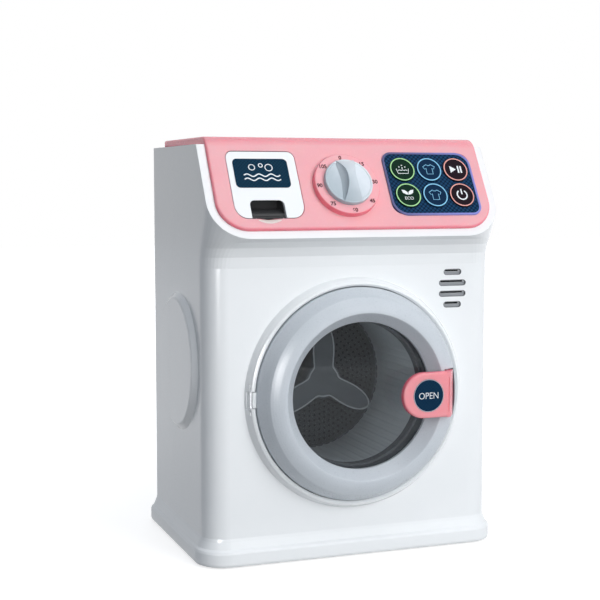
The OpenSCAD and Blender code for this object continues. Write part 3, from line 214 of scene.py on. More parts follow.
panel_normal = -Vector(joints["dial_turn"]["axis"])
panel_lean = math.asin(panel_normal.z)
panel_frame = facing(panel_normal, panel_origin)
dial_middle = panel_frame.inverted() @ Vector(joints["dial_turn"]["pos_m"])

# Rose ABS from a polished tool: soft and a little translucent. Its rolled top edge and its walls are painted
# a deeper rose than the face, as painted shade, which draws a line round it.
pink_abs = moulded("pink_abs_polished", "#F6B5BA", "#F3AEB4", roughness=0.24, grain=1.2 * mm,
                   relief=0.0003 * mm, edge=0.9 * mm, shine=0.2, glow=0.4,
                   wall="#FF8A98", front=panel_normal, start=0.995, curve=0.35)


def widened(spot):
    """A point of the thumb scoop, drawn out from the drawer's edge to a wide, shallow bowl."""
    return Vector((scoop_middle.x + (spot.x - scoop_middle.x) * scoop_wider,
                   drawer_edge + (spot.y - drawer_edge) * scoop_deeper, spot.z))


def softened_panel():
    """The panel's solid with its outline drawn in a little, and the edge of its face rounded over. The
    disc under the dial is left off it, and made with the dial."""
    low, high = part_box("console_panel")
    half = high[0]
    mesh = nodes["console_panel"].data.copy()
    mesh.name = "softened_panel"
    back = panel_frame.inverted()
    shape = bmesh.new()
    shape.from_mesh(mesh)
    bmesh.ops.remove_doubles(shape, verts=shape.verts, dist=weld)
    bmesh.ops.dissolve_limit(shape, angle_limit=math.radians(0.5), verts=shape.verts, edges=shape.edges)
    corner_x, corner_y = half - panel_corner, panel_low + panel_corner
    rim = set()
    for vert in shape.verts:
        spot = back @ vert.co
        side = math.copysign(1, spot.x)
        in_scoop = spot.y < drawer_edge and (spot - scoop_middle).xy.length < scoop_rim
        if in_scoop and spot.z < panel_top + 2 * touch:
            spot = widened(spot)
        elif spot.y < corner_y and abs(spot.x) > corner_x:
            out = Vector((abs(spot.x) - corner_x, spot.y - corner_y))
            if out.length > panel_corner - touch:
                out *= (panel_corner - panel_inset) / out.length
                spot.x, spot.y = side * (corner_x + out.x), corner_y + out.y
                rim.add(vert)
        elif abs(spot.x) > half - lid_skin - 2 * touch:
            if abs(spot.x) > half - touch:
                rim.add(vert)
            spot.x -= side * panel_inset
        elif spot.y < panel_low + touch:
            spot.y += panel_inset
            rim.add(vert)
        if spot.z > panel_top + 4 * touch and (spot - dial_middle).xy.length < disc_seat_r:
            spot.z = panel_top
        vert.co = panel_frame @ spot
    bmesh.ops.remove_doubles(shape, verts=shape.verts, dist=weld)

    def on_face(vert):
        return (back @ vert.co).z > panel_top - touch or vert.co.z > high[2] - rolled_edge

    front = [edge for edge in shape.edges if all(v in rim and on_face(v) for v in edge.verts)
             and len(edge.link_faces) == 2 and edge.calc_face_angle() > math.radians(50)]
    bmesh.ops.bevel(shape, geom=front, offset=panel_edge, segments=4, profile=0.5, affect="EDGES",
                    clamp_overlap=True)
    shape.to_mesh(mesh)
    shape.free()
    return mesh


panel_piece = piece("console_panel_softened", softened_panel(), "cabinet", pink_abs)
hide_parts("console_panel")

# ---- Detergent drawer ----
# A white ABS front with a finger opening, on a dark tray that slides in a dark sleeve behind the panel.
# A navy label of printed film, die-cut with round corners, is stuck into a shallow seat on the front.
finish_nodes(white_abs, "drawer_front")

# Black ABS from a spark-eroded tool: dull and nearly black, so the opening reads as depth.
dark_abs = moulded("dark_abs_spark_eroded", "#2B2C2E", "#232426", roughness=0.55, grain=0.35 * mm,
                   relief=0.02 * mm)
finish_nodes(dark_abs, "drawer_tray", "drawer_housing", "timer_unit")


def printed(name, light, dark, dot, lean=0.0):
    """A film printed with a fine diamond pattern of two close tones, in the plane that leans back by the
    given angle. The varnish over it is thin and satin, so the tone stays deep under a bright room."""
    material, tree, place = new_material(name)
    flat = add(tree, "Mapping", {"Vector": place, "Rotation": (lean - math.pi / 2, 0, math.pi / 4)})
    dots = add(tree, "TexVoronoi", {"voronoi_dimensions": "2D", "Vector": flat.outputs["Vector"],
                                    "Scale": 1 / dot, "Randomness": 0.0})
    ink = add(tree, "MapRange", {"Value": dots.outputs["Distance"], "From Min": 0.2, "From Max": 0.6})
    tone = add(tree, "Mix", {"data_type": "RGBA", 0: ink.outputs["Result"],
                             6: linear(light), 7: linear(dark)})
    shader = add(tree, "BsdfPrincipled", {"Base Color": tone.outputs[2], "Roughness": 0.4, "IOR": 1.5,
                                          "Specular IOR Level": 0.05})
    add(tree, "OutputMaterial", {"Surface": shader.outputs["BSDF"]})
    return material


# Polyester film, screen-printed on its back: deep navy, with a diamond pattern that shows only close to.
navy_film = printed("navy_film_printed", "#0F3A52", "#071F30", 1.6 * mm, panel_lean)
finish_nodes(navy_film, "drawer_label")

# ---- Sound slots ----
# Each of the four grooves over the speaker holds a snapped-in liner of grey ABS, a shallow tray that leaves
# the slit along the groove's top open to the speaker behind. The liner's grey is painted shade in the groove.
slot_middle = Vector((69.8, -56.1, 173.7)) * mm
slot_pitch = 7.2 * mm
slot_lengths = (13.0 * mm, 19.7 * mm, 19.7 * mm, 13.0 * mm)
slot_end = 2 * mm
slot_liner_r = 1.8 * mm
slot_wall = 0.4 * mm
slot_wall_half, slot_wall_sunk = 0.6 * mm, 0.62 * mm
slot_bed_half, slot_bed_sunk = 0.1 * mm, 1.2 * mm
slot_slit_angle = 12


def arc(radius, start, end, steps=24, at=(0, 0)):
    """Points on an arc, in degrees anticlockwise."""
    turns = [math.radians(start + (end - start) * i / steps) for i in range(steps + 1)]
    return [(at[0] + radius * math.cos(t), at[1] + radius * math.sin(t)) for t in turns]


def skin(shape, rows, around=True):
    """Faces from each row of vertices to the next. Around joins the two ends of each row, and a row of one
    vertex is a pole."""
    for a, b in zip(rows, rows[1:]):
        count = max(len(a), len(b))
        for i in range(count if around else count - 1):
            j = (i + 1) % count
            corners = (a[i % len(a)], a[j % len(a)], b[j % len(b)], b[i % len(b)])
            shape.faces.new(list(dict.fromkeys(corners)))


def meshed(shape, name, smooth_below=None):
    """Ends a shape as a mesh, with its faces turned outward. Edges that bend less than smooth_below
    degrees are shaded smooth."""
    bmesh.ops.recalc_face_normals(shape, faces=shape.faces)
    if smooth_below:
        for face in shape.faces:
            face.smooth = True
        for edge in shape.edges:
            edge.smooth = edge.calc_face_angle(0) < math.radians(smooth_below)
    mesh = bpy.data.meshes.new(name)
    shape.to_mesh(mesh)
    shape.free()
    return mesh


def ribbon(lines, width, thick, closed=True):
    """A mesh of flat lines: each runs along its points with a square section, half sunk in the face."""
    shape = bmesh.new()
    for line in lines:
        points = [Vector((p[0], p[1], 0)) for p in line]
        count = len(points)
        rows = []
        for i, point in enumerate(points):
            before = points[i - 1] if closed or i else point
            after = points[(i + 1) % count] if closed or i < count - 1 else point
            along = (after - before).normalized()
            side = Vector((-along.y, along.x, 0)) * width / 2
            rows.append([shape.verts.new(point + side * s + Vector((0, 0, z)))
                         for s, z in ((-1, -thick), (1, -thick), (1, thick), (-1, thick))])
        if closed:
            skin(shape, rows + rows[:1])
        else:
            skin(shape, rows)
            shape.faces.new(rows[0])
            shape.faces.new(rows[-1])
    return meshed(shape, "ribbon")


def plates(outlines, thick):
    """A mesh of flat plates, one for each outline, half sunk in the face."""
    shape = bmesh.new()
    for outline in outlines:
        low = [shape.verts.new((p[0], p[1], -thick)) for p in outline]
        high = [shape.verts.new((p[0], p[1], thick)) for p in outline]
        shape.faces.new(high)
        shape.faces.new(low)
        skin(shape, [low, high])
    return meshed(shape, "plates")


# Grey ABS as moulded, as painted shade in the grooves: the beds are a flat mid grey, and the walls round them
# a darker line of painted shadow.
slot_bed_painted_shade = moulded("slot_grey_abs_moulded", "#96999D", "#8C8F93", relief=0.006 * mm, edge=0.2 * mm)
slot_wall_painted_shadow = moulded("slot_edge_abs_moulded", "#6C6F73", "#64676B", relief=0.006 * mm, edge=0.2 * mm)
for i, length in enumerate(slot_lengths):
    reach = length / 2 - slot_end
    groove = facing((0, -1, 0), slot_middle + Vector((0, 0, (1.5 - i) * slot_pitch)))
    loop = arc(slot_liner_r, -90, 90, 12, (reach, 0)) + arc(slot_liner_r, 90, 270, 12, (-reach, 0))
    bed = (arc(slot_liner_r, -90, slot_slit_angle, 8, (reach, 0))
           + arc(slot_liner_r, 180 - slot_slit_angle, 270, 8, (-reach, 0)))
    piece(f"slot_liner_wall_{i + 1}", ribbon([loop], slot_wall, slot_wall_half), "cabinet",
          slot_wall_painted_shadow, groove @ Matrix.Translation((0, 0, -slot_wall_sunk)))
    piece(f"slot_liner_bed_{i + 1}", plates([bed], slot_bed_half), "cabinet",
          slot_bed_painted_shade, groove @ Matrix.Translation((0, 0, -slot_bed_sunk)))

# ---- Drawer label ----
# Two wavy lines and three bubbles, screen-printed in white on the navy label. The ink stands a twentieth
# of a millimetre proud of the film.
ink_t = 0.05 * mm
wave_l, wave_h, wave_count = 24 * mm, 0.9 * mm, 3
wave_heights = (-4.6 * mm, -1.6 * mm)
wave_w, bubble_w = 0.8 * mm, 0.55 * mm
bubble_spots = ((-6, 4.2, 2.0), (0, 5.6, 1.3), (5.2, 4.0, 2.4))


def outer_face(name, direction):
    """The frame at the middle of a node's outermost face along a direction."""
    turn = facing(direction, (0, 0, 0))
    points = [turn.inverted() @ v.co for v in nodes[name].data.vertices]
    top = max(p.z for p in points)
    face = [p for p in points if p.z > top - 0.01 * mm]
    middle = [(min(p[i] for p in face) + max(p[i] for p in face)) / 2 for i in (0, 1)]
    return facing(direction, turn @ Vector((middle[0], middle[1], top)))


def wave(length, height, at, waves, steps=96):
    """Points along a level wave line."""
    spots = [i / steps for i in range(steps + 1)]
    return [(at[0] + length * (s - 0.5), at[1] + height * math.sin(2 * math.pi * waves * s))
            for s in spots]


def flat_ink(name, colour, roughness=0.4):
    """Screen-printed ink: opaque and even, with a slight pull of the mesh that varies its gloss."""
    material, tree, place = new_material(name)
    pull = add(tree, "TexNoise", {"Vector": place, "Scale": 1 / (0.6 * mm), "Detail": 2.0})
    gloss = add(tree, "MapRange", {"Value": pull.outputs["Fac"],
                                   "To Min": roughness * 0.8, "To Max": roughness * 1.2})
    shader = add(tree, "BsdfPrincipled", {"Base Color": linear(colour), "Roughness": gloss.outputs["Result"],
                                          "IOR": 1.5, "Specular IOR Level": 0.25})
    add(tree, "OutputMaterial", {"Surface": shader.outputs["BSDF"]})
    return material


# White ink over navy: opaque and a little cool, so its lines stay crisp.
white_ink = flat_ink("white_ink_printed", "#EDF1F4")
label_face = outer_face("drawer_label", panel_normal)
waves = [wave(wave_l, wave_h, (0, y), wave_count) for y in wave_heights]
bubbles = [arc(r * mm, 0, 345, 23, (x * mm, y * mm)) for x, y, r in bubble_spots]
piece("label_waves", ribbon(waves, wave_w, ink_t, False), "drawer_slider", white_ink,
      label_face)
piece("label_bubbles", ribbon(bubbles, bubble_w, ink_t), "drawer_slider", white_ink,
      label_face)

# ---- Finger pocket ----
# The finger opening in the drawer's front has a curved back of dark ABS. It sweeps up and back from the
# drawer's lower edge, dished a little across, and is welded in behind the front.
pocket_half = 11.1 * mm
pocket_t = 0.3 * mm
pocket_dish = 0.8 * mm
pocket_sweep = [(v * mm, w * mm) for v, w in ((13.3, 1.9), (13.7, 1.3), (15.0, 0.5), (17.3, -0.7),
                                              (20.2, -2.4), (23.2, -4.6), (25.6, -7.2))]


def thin_sheet(name, top, under, smooth_below=None):
    """A closed thin sheet between two grids of points, one over the other."""
    shape = bmesh.new()
    rims = []
    for points in (top, under):
        grid = [[shape.verts.new(p) for p in column] for column in points]
        skin(shape, grid, around=False)
        rims.append(grid[0] + [column[-1] for column in grid[1:-1]] + grid[-1][::-1]
                    + [column[0] for column in grid[-2:0:-1]])
    skin(shape, rims)
    return meshed(shape, name, smooth_below)


def swept_sheet(sweep, half, middle, thick, dish, steps=12):
    """A sheet bent along a line of (height, depth) points, dished towards its middle."""
    layers = []
    for lift in (0, -thick):
        grid = []
        for i in range(steps + 1):
            share = 2 * i / steps - 1
            sink = dish * (share * share - 1) / (len(sweep) - 1)
            grid.append([(middle + half * share, v, w + lift + sink * k)
                         for k, (v, w) in enumerate(sweep)])
        layers.append(grid)
    return thin_sheet("swept_sheet", *layers, smooth_below=40)


# Charcoal ABS as moulded: dull, and a shade lighter than the tray, so its curve catches some light.
pocket_abs = moulded("pocket_abs_moulded", "#3B3C3E", "#333436", grain=0.4 * mm)
pocket_back = swept_sheet(pocket_sweep, pocket_half, scoop_middle.x, pocket_t, pocket_dish)
piece("finger_pocket_back", pocket_back, "drawer_slider", pocket_abs, panel_frame)

# ---- Thumb scoop ----
# Below the drawer's opening a thin moulded liner is pressed into the panel's thumb scoop. It shows as a pale
# crescent under the drawer's edge, partly its own cream and partly a painted highlight of the light the scoop
# catches.
scoop_radius = 17.5 * mm
liner_t = 0.25 * mm


def scoop_liner(steps=24, rows=6):
    """A thin cap of a sphere, from the scoop's rim up to the drawer's edge."""
    depth = scoop_middle.z - panel_top
    rim = math.sqrt(scoop_radius ** 2 - depth ** 2)
    half = math.sqrt(rim ** 2 - (scoop_middle.y - drawer_edge) ** 2) * 0.999
    layers = []
    for radius in (scoop_radius, scoop_radius - liner_t):
        grid = []
        for i in range(steps + 1):
            x = half * (2 * i / steps - 1)
            low = scoop_middle.y - math.sqrt(radius ** 2 - depth ** 2 - x * x)
            column = []
            for j in range(rows + 1):
                y = low + (max(drawer_edge, low) - low) * j / rows
                z = scoop_middle.z - math.sqrt(radius ** 2 - x * x - (y - scoop_middle.y) ** 2)
                column.append(widened(Vector((scoop_middle.x + x, y, z))))
            grid.append(column)
        layers.append(grid)
    return thin_sheet("scoop_liner", *layers)


# Cream ABS: satin and warm, and partly a painted highlight, so the crescent stands out light against the
# rose.
cream_abs = moulded("cream_abs_moulded", "#F2E4DE", "#EEDDD6", roughness=0.35, grain=0.6 * mm,
                    relief=0.004 * mm)
piece("thumb_scoop_liner", scoop_liner(), "cabinet", cream_abs, panel_frame)

# ---- Programme dial ----
# A knob of silver-grey ABS with an arched grip, pressed on a nylon spindle. The minutes round it are printed
# on a raised disc of the panel.
disc_low, disc_high, disc_r = 2.2 * mm, 6.6 * mm, 21.9 * mm
disc_edge, disc_flare = 0.5 * mm, 0.3 * mm
knob_r, skirt_low, skirt_high = 16.0 * mm, 6.7 * mm, 10.0 * mm
skirt_edge = 0.4 * mm
groove_out, groove_in, groove_d = 1.1 * mm, 1.5 * mm, 0.5 * mm
hub_rise = 0.9 * mm
fin_h, fin_low_half, fin_top_half = 6.6 * mm, 6.4 * mm, 2.7 * mm
fin_inset, fin_sunk = 0.7 * mm, 0.3 * mm
fin_hollow = 2.2
fin_crest = ((0.82, 1.02), (0.4, 1.035), (0, 1.04))
number_ring, number_h, number_weight = 19.3 * mm, 2.6 * mm, 0.12 * mm
first_angle, step_angle = 94, 45
capital_share = 0.7


def turned(profile, steps=96):
    """A mesh turned round the local z axis from a profile of (radius, height) points."""
    shape = bmesh.new()
    angles = [2 * math.pi * i / steps for i in range(steps)]
    rings = [[shape.verts.new((radius * math.cos(t), radius * math.sin(t), height))
              for t in (angles if radius else angles[:1])] for radius, height in profile]
    skin(shape, rings)
    return meshed(shape, "turned", smooth_below=28)


def rounded(radius, height, edge, steps=5):
    """Profile points over a rounded outer edge, from the wall to the top."""
    turns = [math.radians(90 * i / steps) for i in range(steps + 1)]
    return [(radius - edge + edge * math.cos(t), height - edge + edge * math.sin(t)) for t in turns]


dial_place = panel_frame @ Matrix.Translation((dial_middle.x, dial_middle.y, 0))
dial_disc = turned([(disc_r + disc_flare, disc_low), *rounded(disc_r, disc_high, disc_edge), (0, disc_high)])
piece("dial_disc", dial_disc, "cabinet", pink_abs, dial_place)


def knob_fin(steps=40, layers=6):
    """The bowed grip: it rises from the skirt's rim to its full height and falls again, with hollow sides."""
    shape = bmesh.new()
    reach = knob_r - fin_inset
    rows = []
    for i in range(steps + 1):
        share = 2 * i / steps - 1
        rise = 1 - share * share
        top = fin_low_half + (fin_top_half - fin_low_half) * rise
        height = fin_h * rise
        half = [(fin_low_half - (fin_low_half - top) * (1 - (1 - k / layers) ** fin_hollow),
                 height * k / layers) for k in range(layers + 1)]
        half += [(top * out, height * up) for out, up in fin_crest]
        full = [(-u, z) for u, z in half] + [(u, z) for u, z in reversed(half[:-1])]
        rows.append([shape.verts.new((u, reach * share, skirt_high - fin_sunk + z)) for u, z in full])
    skin(shape, rows)
    return meshed(shape, "knob_fin", smooth_below=40)


def pearl_flow(name, dark, light, middle, along, reach, roughness):
    """A pearl plastic with painted light: it goes from a darker to a lighter tone along one direction,
    painted shade at one end and a painted highlight at the other, with flow lines 5 mm apart over that."""
    material, tree, place = new_material(name)
    offset = add(tree, "VectorMath", {"operation": "SUBTRACT", 0: place, 1: middle})
    across = add(tree, "VectorMath", {"operation": "DOT_PRODUCT", 0: offset.outputs["Vector"], 1: along})
    share = add(tree, "MapRange", {"interpolation_type": "SMOOTHSTEP", "Value": across.outputs["Value"],
                                   "From Min": -reach, "From Max": reach})
    line = add(tree, "TexNoise", {"Vector": place, "Scale": 1 / (5 * mm), "Detail": 2.0})
    mixed = add(tree, "MapRange", {"Value": line.outputs["Fac"], "To Min": -0.12, "To Max": 0.12})
    total = add(tree, "Math", {"operation": "ADD", "use_clamp": True, 0: share.outputs["Result"],
                               1: mixed.outputs["Result"]})
    tone = add(tree, "Mix", {"data_type": "RGBA", 0: total.outputs[0], 6: linear(dark), 7: linear(light)})
    soft = add(tree, "Bevel", {"samples": 4, "Radius": 0.5 * mm})
    shader = add(tree, "BsdfPrincipled", {"Base Color": tone.outputs[2], "Roughness": roughness,
                                          "IOR": abs_ior, "Normal": soft.outputs["Normal"]})
    add(tree, "OutputMaterial", {"Surface": shader.outputs["BSDF"]})
    return material


def lettering(words, height, thick, weight=0.0, width=None):
    """A mesh of raised letters, centred on the face. Weight thickens or thins the strokes, in metres, and
    width stretches the whole word."""
    curve = bpy.data.curves.new("words", "FONT")
    curve.body = words
    curve.size = height / capital_share
    curve.align_x = "CENTER"
    curve.extrude = thick
    curve.offset = weight
    made = bpy.data.objects.new("words", curve)
    mesh = bpy.data.meshes.new_from_object(made)
    bpy.data.objects.remove(made)
    if width:
        spread = [v.co.x for v in mesh.vertices]
        mesh.transform(Matrix.Diagonal((width / (max(spread) - min(spread)), 1, 1, 1)))
    mesh.transform(Matrix.Translation((0, -height / 2, 0)))
    return mesh


# Pearl ABS as moulded: satin silver-grey, with painted shade on one flank of the grip and a painted
# highlight, nearly white, on the other.
knob_abs = pearl_flow("silver_abs_knob_painted_light", "#AFBCC4", "#DCE3E9", Vector(joints["dial_turn"]["pos_m"]),
                      Vector((0.88, 0.24, 0.41)), 12 * mm, 0.3)
knob = turned([(0, skirt_low), (knob_r, skirt_low), *rounded(knob_r, skirt_high, skirt_edge),
               (knob_r - groove_out, skirt_high), (knob_r - groove_in, skirt_high - groove_d),
               (0, skirt_high + hub_rise)])
knob_piece = piece("knob_skirt", knob, "dial", knob_abs, dial_place)
piece("knob_fin", knob_fin(), "dial", knob_abs, dial_place)
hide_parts("program_knob")

# Natural nylon: milky and dull, the colour that gears and spindles are left in.
nylon = moulded("nylon_natural", "#DEDCD2", "#D6D3C8", roughness=0.45, grain=0.4 * mm, edge=0.2 * mm)
finish_nodes(nylon, "knob_spindle")

# Wine-red ink on the rose disc: dark enough to read, softer than black.
wine_ink = flat_ink("wine_ink_printed", "#4E1622")
dial_face = dial_place @ Matrix.Translation((0, 0, disc_high))
for i, minutes in enumerate(range(0, 120, 15)):
    turn = math.radians(first_angle - step_angle * i)
    spot = Matrix.Translation((number_ring * math.cos(turn), number_ring * math.sin(turn), 0))
    piece(f"dial_number_{minutes}", lettering(str(minutes), number_h, ink_t, number_weight), "cabinet",
          wine_ink, dial_face @ spot)

# ---- Button plate ----
# The six keys stand in a plate faced with printed navy film, inside a polished violet frame seated in
# the panel. Two of the plate's corners are drawn to a larger radius than the other two.
plate_low, plate_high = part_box("button_plate")
plate_r = 7 * mm
plate_drop = 1.4 * mm
corner_zone = 5 * mm
corner_gains = {(-1, -1): 4.0 * mm, (1, 1): 3.0 * mm, (1, -1): 0.0, (-1, 1): 0.0}


def reshaped(name, gains):
    """A copy of a node's solid with its lower edge a little further down, and its outer corners drawn to
    larger radii. Gains gives what each corner's radius gains."""
    mesh = nodes[name].data.copy()
    mesh.name = name + "_reshaped"
    back = panel_frame.inverted()
    spots = [back @ v.co for v in nodes["button_plate"].data.vertices]
    ends = {(axis, side): side * max(side * p[axis] for p in spots) for axis in (0, 1) for side in (-1, 1)}
    for vert in mesh.vertices:
        spot = back @ vert.co
        for (side_x, side_y), gain in gains.items():
            corner = Vector((side_x, side_y))
            out = spot.xy - Vector((ends[0, side_x], ends[1, side_y])) + plate_r * corner
            if out.x * side_x > -1e-6 and out.y * side_y > -1e-6 and out.length > corner_zone:
                move = gain * (out.normalized() - corner)
                spot.x, spot.y = spot.x + move.x, spot.y + move.y
                if side_y < 0:
                    spot.y -= plate_drop
        vert.co = panel_frame @ spot
    return mesh


# The same navy film, in a lighter print with larger diamonds that show from a child's arm's length.
plate_film = printed("navy_plate_printed", "#1A4368", "#071727", 2.2 * mm, panel_lean)

# Violet ABS, polished, with painted light: painted shade at its left end and a painted highlight at its
# right.
frame_middle = (Vector(plate_low) + Vector(plate_high)) / 2
violet_abs = pearl_flow("violet_abs_painted_light", "#4A4D7C", "#858BD6", frame_middle,
                        Vector((0.75, 0.3, -0.59)), 30 * mm, 0.28)
plate_piece = piece("button_plate_film", reshaped("button_plate", corner_gains), "cabinet",
                    plate_film)
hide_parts("button_plate")
frame_piece = piece("button_bezel_rounded", reshaped("button_bezel", corner_gains), "cabinet",
                    violet_abs)
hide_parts("button_bezel")

# Lacquered glass-fibre board: a clear green with a satin gloss.
circuit_board = moulded("circuit_board_lacquered", "#1D6B45", "#195E3D", roughness=0.4, grain=0.8 * mm,
                        edge=0.1 * mm)
finish_nodes(circuit_board, "button_board")

# ---- Buttons ----
# Six round keys of ABS, each pressed on a dome switch. A coloured ring and a sign are printed on its dark
# face: wash, two shirts, start and pause, economy, and power.
key_inks = {
    "green": ("#A8DD9C", "#0E2A1E"),
    "blue": ("#86C8EA", "#0C2945"),
    "rose": ("#E9A79F", "#1F141C"),
}
ring_r = 8.2 * mm
ring_w = 0.75 * mm
sign_w = 0.42 * mm
power_w = 0.95 * mm
drop_r = 0.45 * mm
word_h, word_drop = 2.2 * mm, 2.4 * mm

# Coloured inks, opaque and even, and under them satin key caps tinted nearly to black.
rings = {name: flat_ink(f"{name}_ink_printed", tones[0]) for name, tones in key_inks.items()}
caps = {name: moulded(f"{name}_key_cap", tones[1], tones[1], roughness=0.35, relief=0.004 * mm, shine=0.05)
        for name, tones in key_inks.items()}


def in_mm(*points):
    """An outline given in millimetres."""
    return [(x * mm, y * mm) for x, y in points]


shirt = in_mm((-1.6, 3.6), (-4.3, 1.9), (-3.2, 0.1), (-2.2, 0.8), (-2.2, -3.6), (2.2, -3.6), (2.2, 0.8),
              (3.2, 0.1), (4.3, 1.9), (1.6, 3.6), (0.7, 2.9), (-0.7, 2.9))
basin = in_mm((-4.4, 0.4), (-3.6, -3.2), (3.6, -3.2), (4.4, 0.4))
water = in_mm((-3.4, -1.0), (-2.2, -0.5), (-1.1, -1.0), (0, -0.5), (1.1, -1.0), (2.2, -0.5), (3.4, -1.0))
drops = [arc(drop_r, 0, 345, 11, spot) for spot in in_mm((-2.1, 1.7), (0, 2.9), (2.1, 1.7), (0, 0.9))]
play = in_mm((-4.1, -2.6), (-4.1, 2.6), (0.2, 0))
bars = [in_mm((x, -2.6), (x + 1.1, -2.6), (x + 1.1, 2.6), (x, 2.6)) for x in (1.3, 3.3)]
power = arc(3.5 * mm, 125, 415, 32)
power_bar = in_mm((0, 4.4), (0, 0.4))
leaf = in_mm((0, 0.2), (-1.6, 0.4), (-3.6, 1.6), (-4.2, 3.9), (-2.0, 3.5), (-0.4, 2.2))
leaf_two = [(-x, y) for x, y in reversed(leaf)]
signs = {
    1: ("green", [ribbon([basin], sign_w, ink_t, False), ribbon([water], sign_w, ink_t, False),
                  plates(drops, ink_t)]),
    2: ("blue", [ribbon([shirt], sign_w, ink_t)]),
    3: ("rose", [plates([play, *bars], ink_t)]),
    4: ("green", [plates([leaf, leaf_two], ink_t)]),
    5: ("blue", [ribbon([shirt], sign_w, ink_t)]),
    6: ("rose", [ribbon([power], power_w, ink_t, False), ribbon([power_bar], power_w, ink_t, False)]),
}
for number, (tint, parts) in signs.items():
    cap = f"button_{number}"
    body = f"push_{number}"
    face = outer_face(cap, panel_normal)
    finish_nodes(caps[tint], cap)
    piece(f"key_ring_{number}", ribbon([arc(ring_r, 0, 354, 59)], ring_w, ink_t), body,
          rings[tint], face)
    sign_ink = white_ink if tint != "blue" else rings["blue"]
    for k, mesh in enumerate(parts):
        piece(f"key_sign_{number}_{k + 1}", mesh, body, sign_ink, face)
    if number == 4:
        low = Matrix.Translation((0, -word_drop, 0))
        piece("key_word_4", lettering("ECO", word_h, ink_t), body, white_ink, face @ low)

# ---- Door ----
# The ring is silver-grey ABS. A back ring holds the smoke-tinted window behind its inner edge, and a white
# arm carries the door on the hinge pin inside the cabinet's collar.
window_ripple = 9 * mm
finish_nodes(white_abs, "hinge_arm")

# Silver-grey ABS from a polished tool: satin, with broad soft reflections round the ring.
silver_abs = moulded("silver_abs_pearl", "#CBD1D7", "#C3CAD0", roughness=0.3, grain=0.8 * mm,
                     relief=0.0005 * mm, edge=0.8 * mm)
finish_nodes(silver_abs, "door_ring")

# Grey ABS as moulded: it shows only through the window's rim, where it reads as a dark line.
door_back_abs = moulded("grey_abs_back_ring", "#66696D", "#5E6165", relief=0.004 * mm, edge=0.5 * mm)
finish_nodes(door_back_abs, "door_back")


def tinted(name, colour, shade, roughness):
    """Clear polystyrene with a smoke dye in it: it darkens what lies behind and mirrors what lies before."""
    material, tree, place = new_material(name)
    ripple = add(tree, "TexNoise", {"Vector": place, "Scale": 1 / window_ripple, "Detail": 1.0})
    bump = add(tree, "Bump", {"Height": ripple.outputs["Fac"], "Distance": 0.01 * mm, "Strength": 1.0})
    glass = add(tree, "BsdfPrincipled", {"Base Color": linear(colour), "Roughness": roughness, "IOR": 1.25,
                                         "Transmission Weight": 1.0, "Normal": bump.outputs["Normal"]})
    clear = add(tree, "BsdfTransparent", {"Color": linear(shade)})
    ray = add(tree, "LightPath", {})
    both = add(tree, "MixShader", {0: ray.outputs["Is Shadow Ray"], 1: glass.outputs["BSDF"],
                                   2: clear.outputs["BSDF"]})
    add(tree, "OutputMaterial", {"Surface": both.outputs["Shader"]})
    return material


# Smoke polystyrene: clear and thin-walled, so it bends light less than a thick block would. It leaves the
# drum in view, a little greyer.
smoke_window = tinted("smoke_polystyrene_clear", "#C6CACD", "#E9EBEC", 0.0)
finish_nodes(smoke_window, "door_window")

# ---- Door handle ----
# A pull of coral ABS turns on a steel pin in the ring, with a latch hook behind it. A round navy plate of
# printed film, let into its face, says what it does.
badge_ink_t = 0.01 * mm
badge_word_h, badge_word_w, badge_word_weight = 4.2 * mm, 13.6 * mm, -0.05 * mm
badge_line_r, badge_line_w = 10.35 * mm, 0.3 * mm

# Coral ABS from a polished tool: a stronger tone than the panel's, with painted shade that makes it deeper
# still on its sides.
coral_abs = moulded("coral_abs_polished", "#F8A0A7", "#F599A0", roughness=0.24, grain=1.2 * mm,
                    relief=0.0003 * mm, edge=0.9 * mm, shine=0.2, glow=0.4,
                    wall="#FF8292", front=Vector((0, -1, 0)))
finish_nodes(coral_abs, "door_handle")

# Navy film in one nearly even tone, and the pale grey line and word on it.
badge_film = printed("navy_badge_printed", "#0C3049", "#0A2740", 1.6 * mm)
finish_nodes(badge_film, "handle_disc")
badge_line = flat_ink("badge_line_printed", "#C9CFD6")
badge_face = outer_face("handle_disc", (0, -1, 0))
badge_word = lettering("OPEN", badge_word_h, badge_ink_t, badge_word_weight, badge_word_w)
piece("handle_word", badge_word, "handle", white_ink, badge_face)
badge_ring = ribbon([arc(badge_line_r, 0, 356, 89)], badge_line_w, badge_ink_t)
piece("handle_badge_line", badge_ring, "handle", badge_line, badge_face)

# ---- Drum ----
# The drum and its three-armed agitator are moulded in grey ABS, and turn on a steel spindle in a brass bush,
# driven by nylon gears. A thin ribbed lining and a pierced end are pressed in.
drum_end_t = 3 * mm
agitator_rise = 28 * mm
agitator_hub, agitator_arm = 12.5 * mm, 40 * mm
arm_slimness = 3.2
agitator_edge = 1.2 * mm
agitator_crown = 1.6 * mm
agitator_gap = 0.3 * mm
bead_inset, bead_w, bead_half = 1.6 * mm, 0.9 * mm, 0.25 * mm
lining_r, lining_near, lining_far = 52.1 * mm, 0.4 * mm, 68 * mm
lining_t, lining_rib = 0.15 * mm, 0.5 * mm
end_inner, end_outer, end_near, end_far = agitator_hub / 2, 51.8 * mm, 0.1 * mm, 0.35 * mm
hole_r, hole_t, hole_lift = 0.75 * mm, 0.05 * mm, 0.36 * mm
hole_rings = 10
hole_first, hole_ring_step, hole_step = 15 * mm, 3.6 * mm, 3.8 * mm
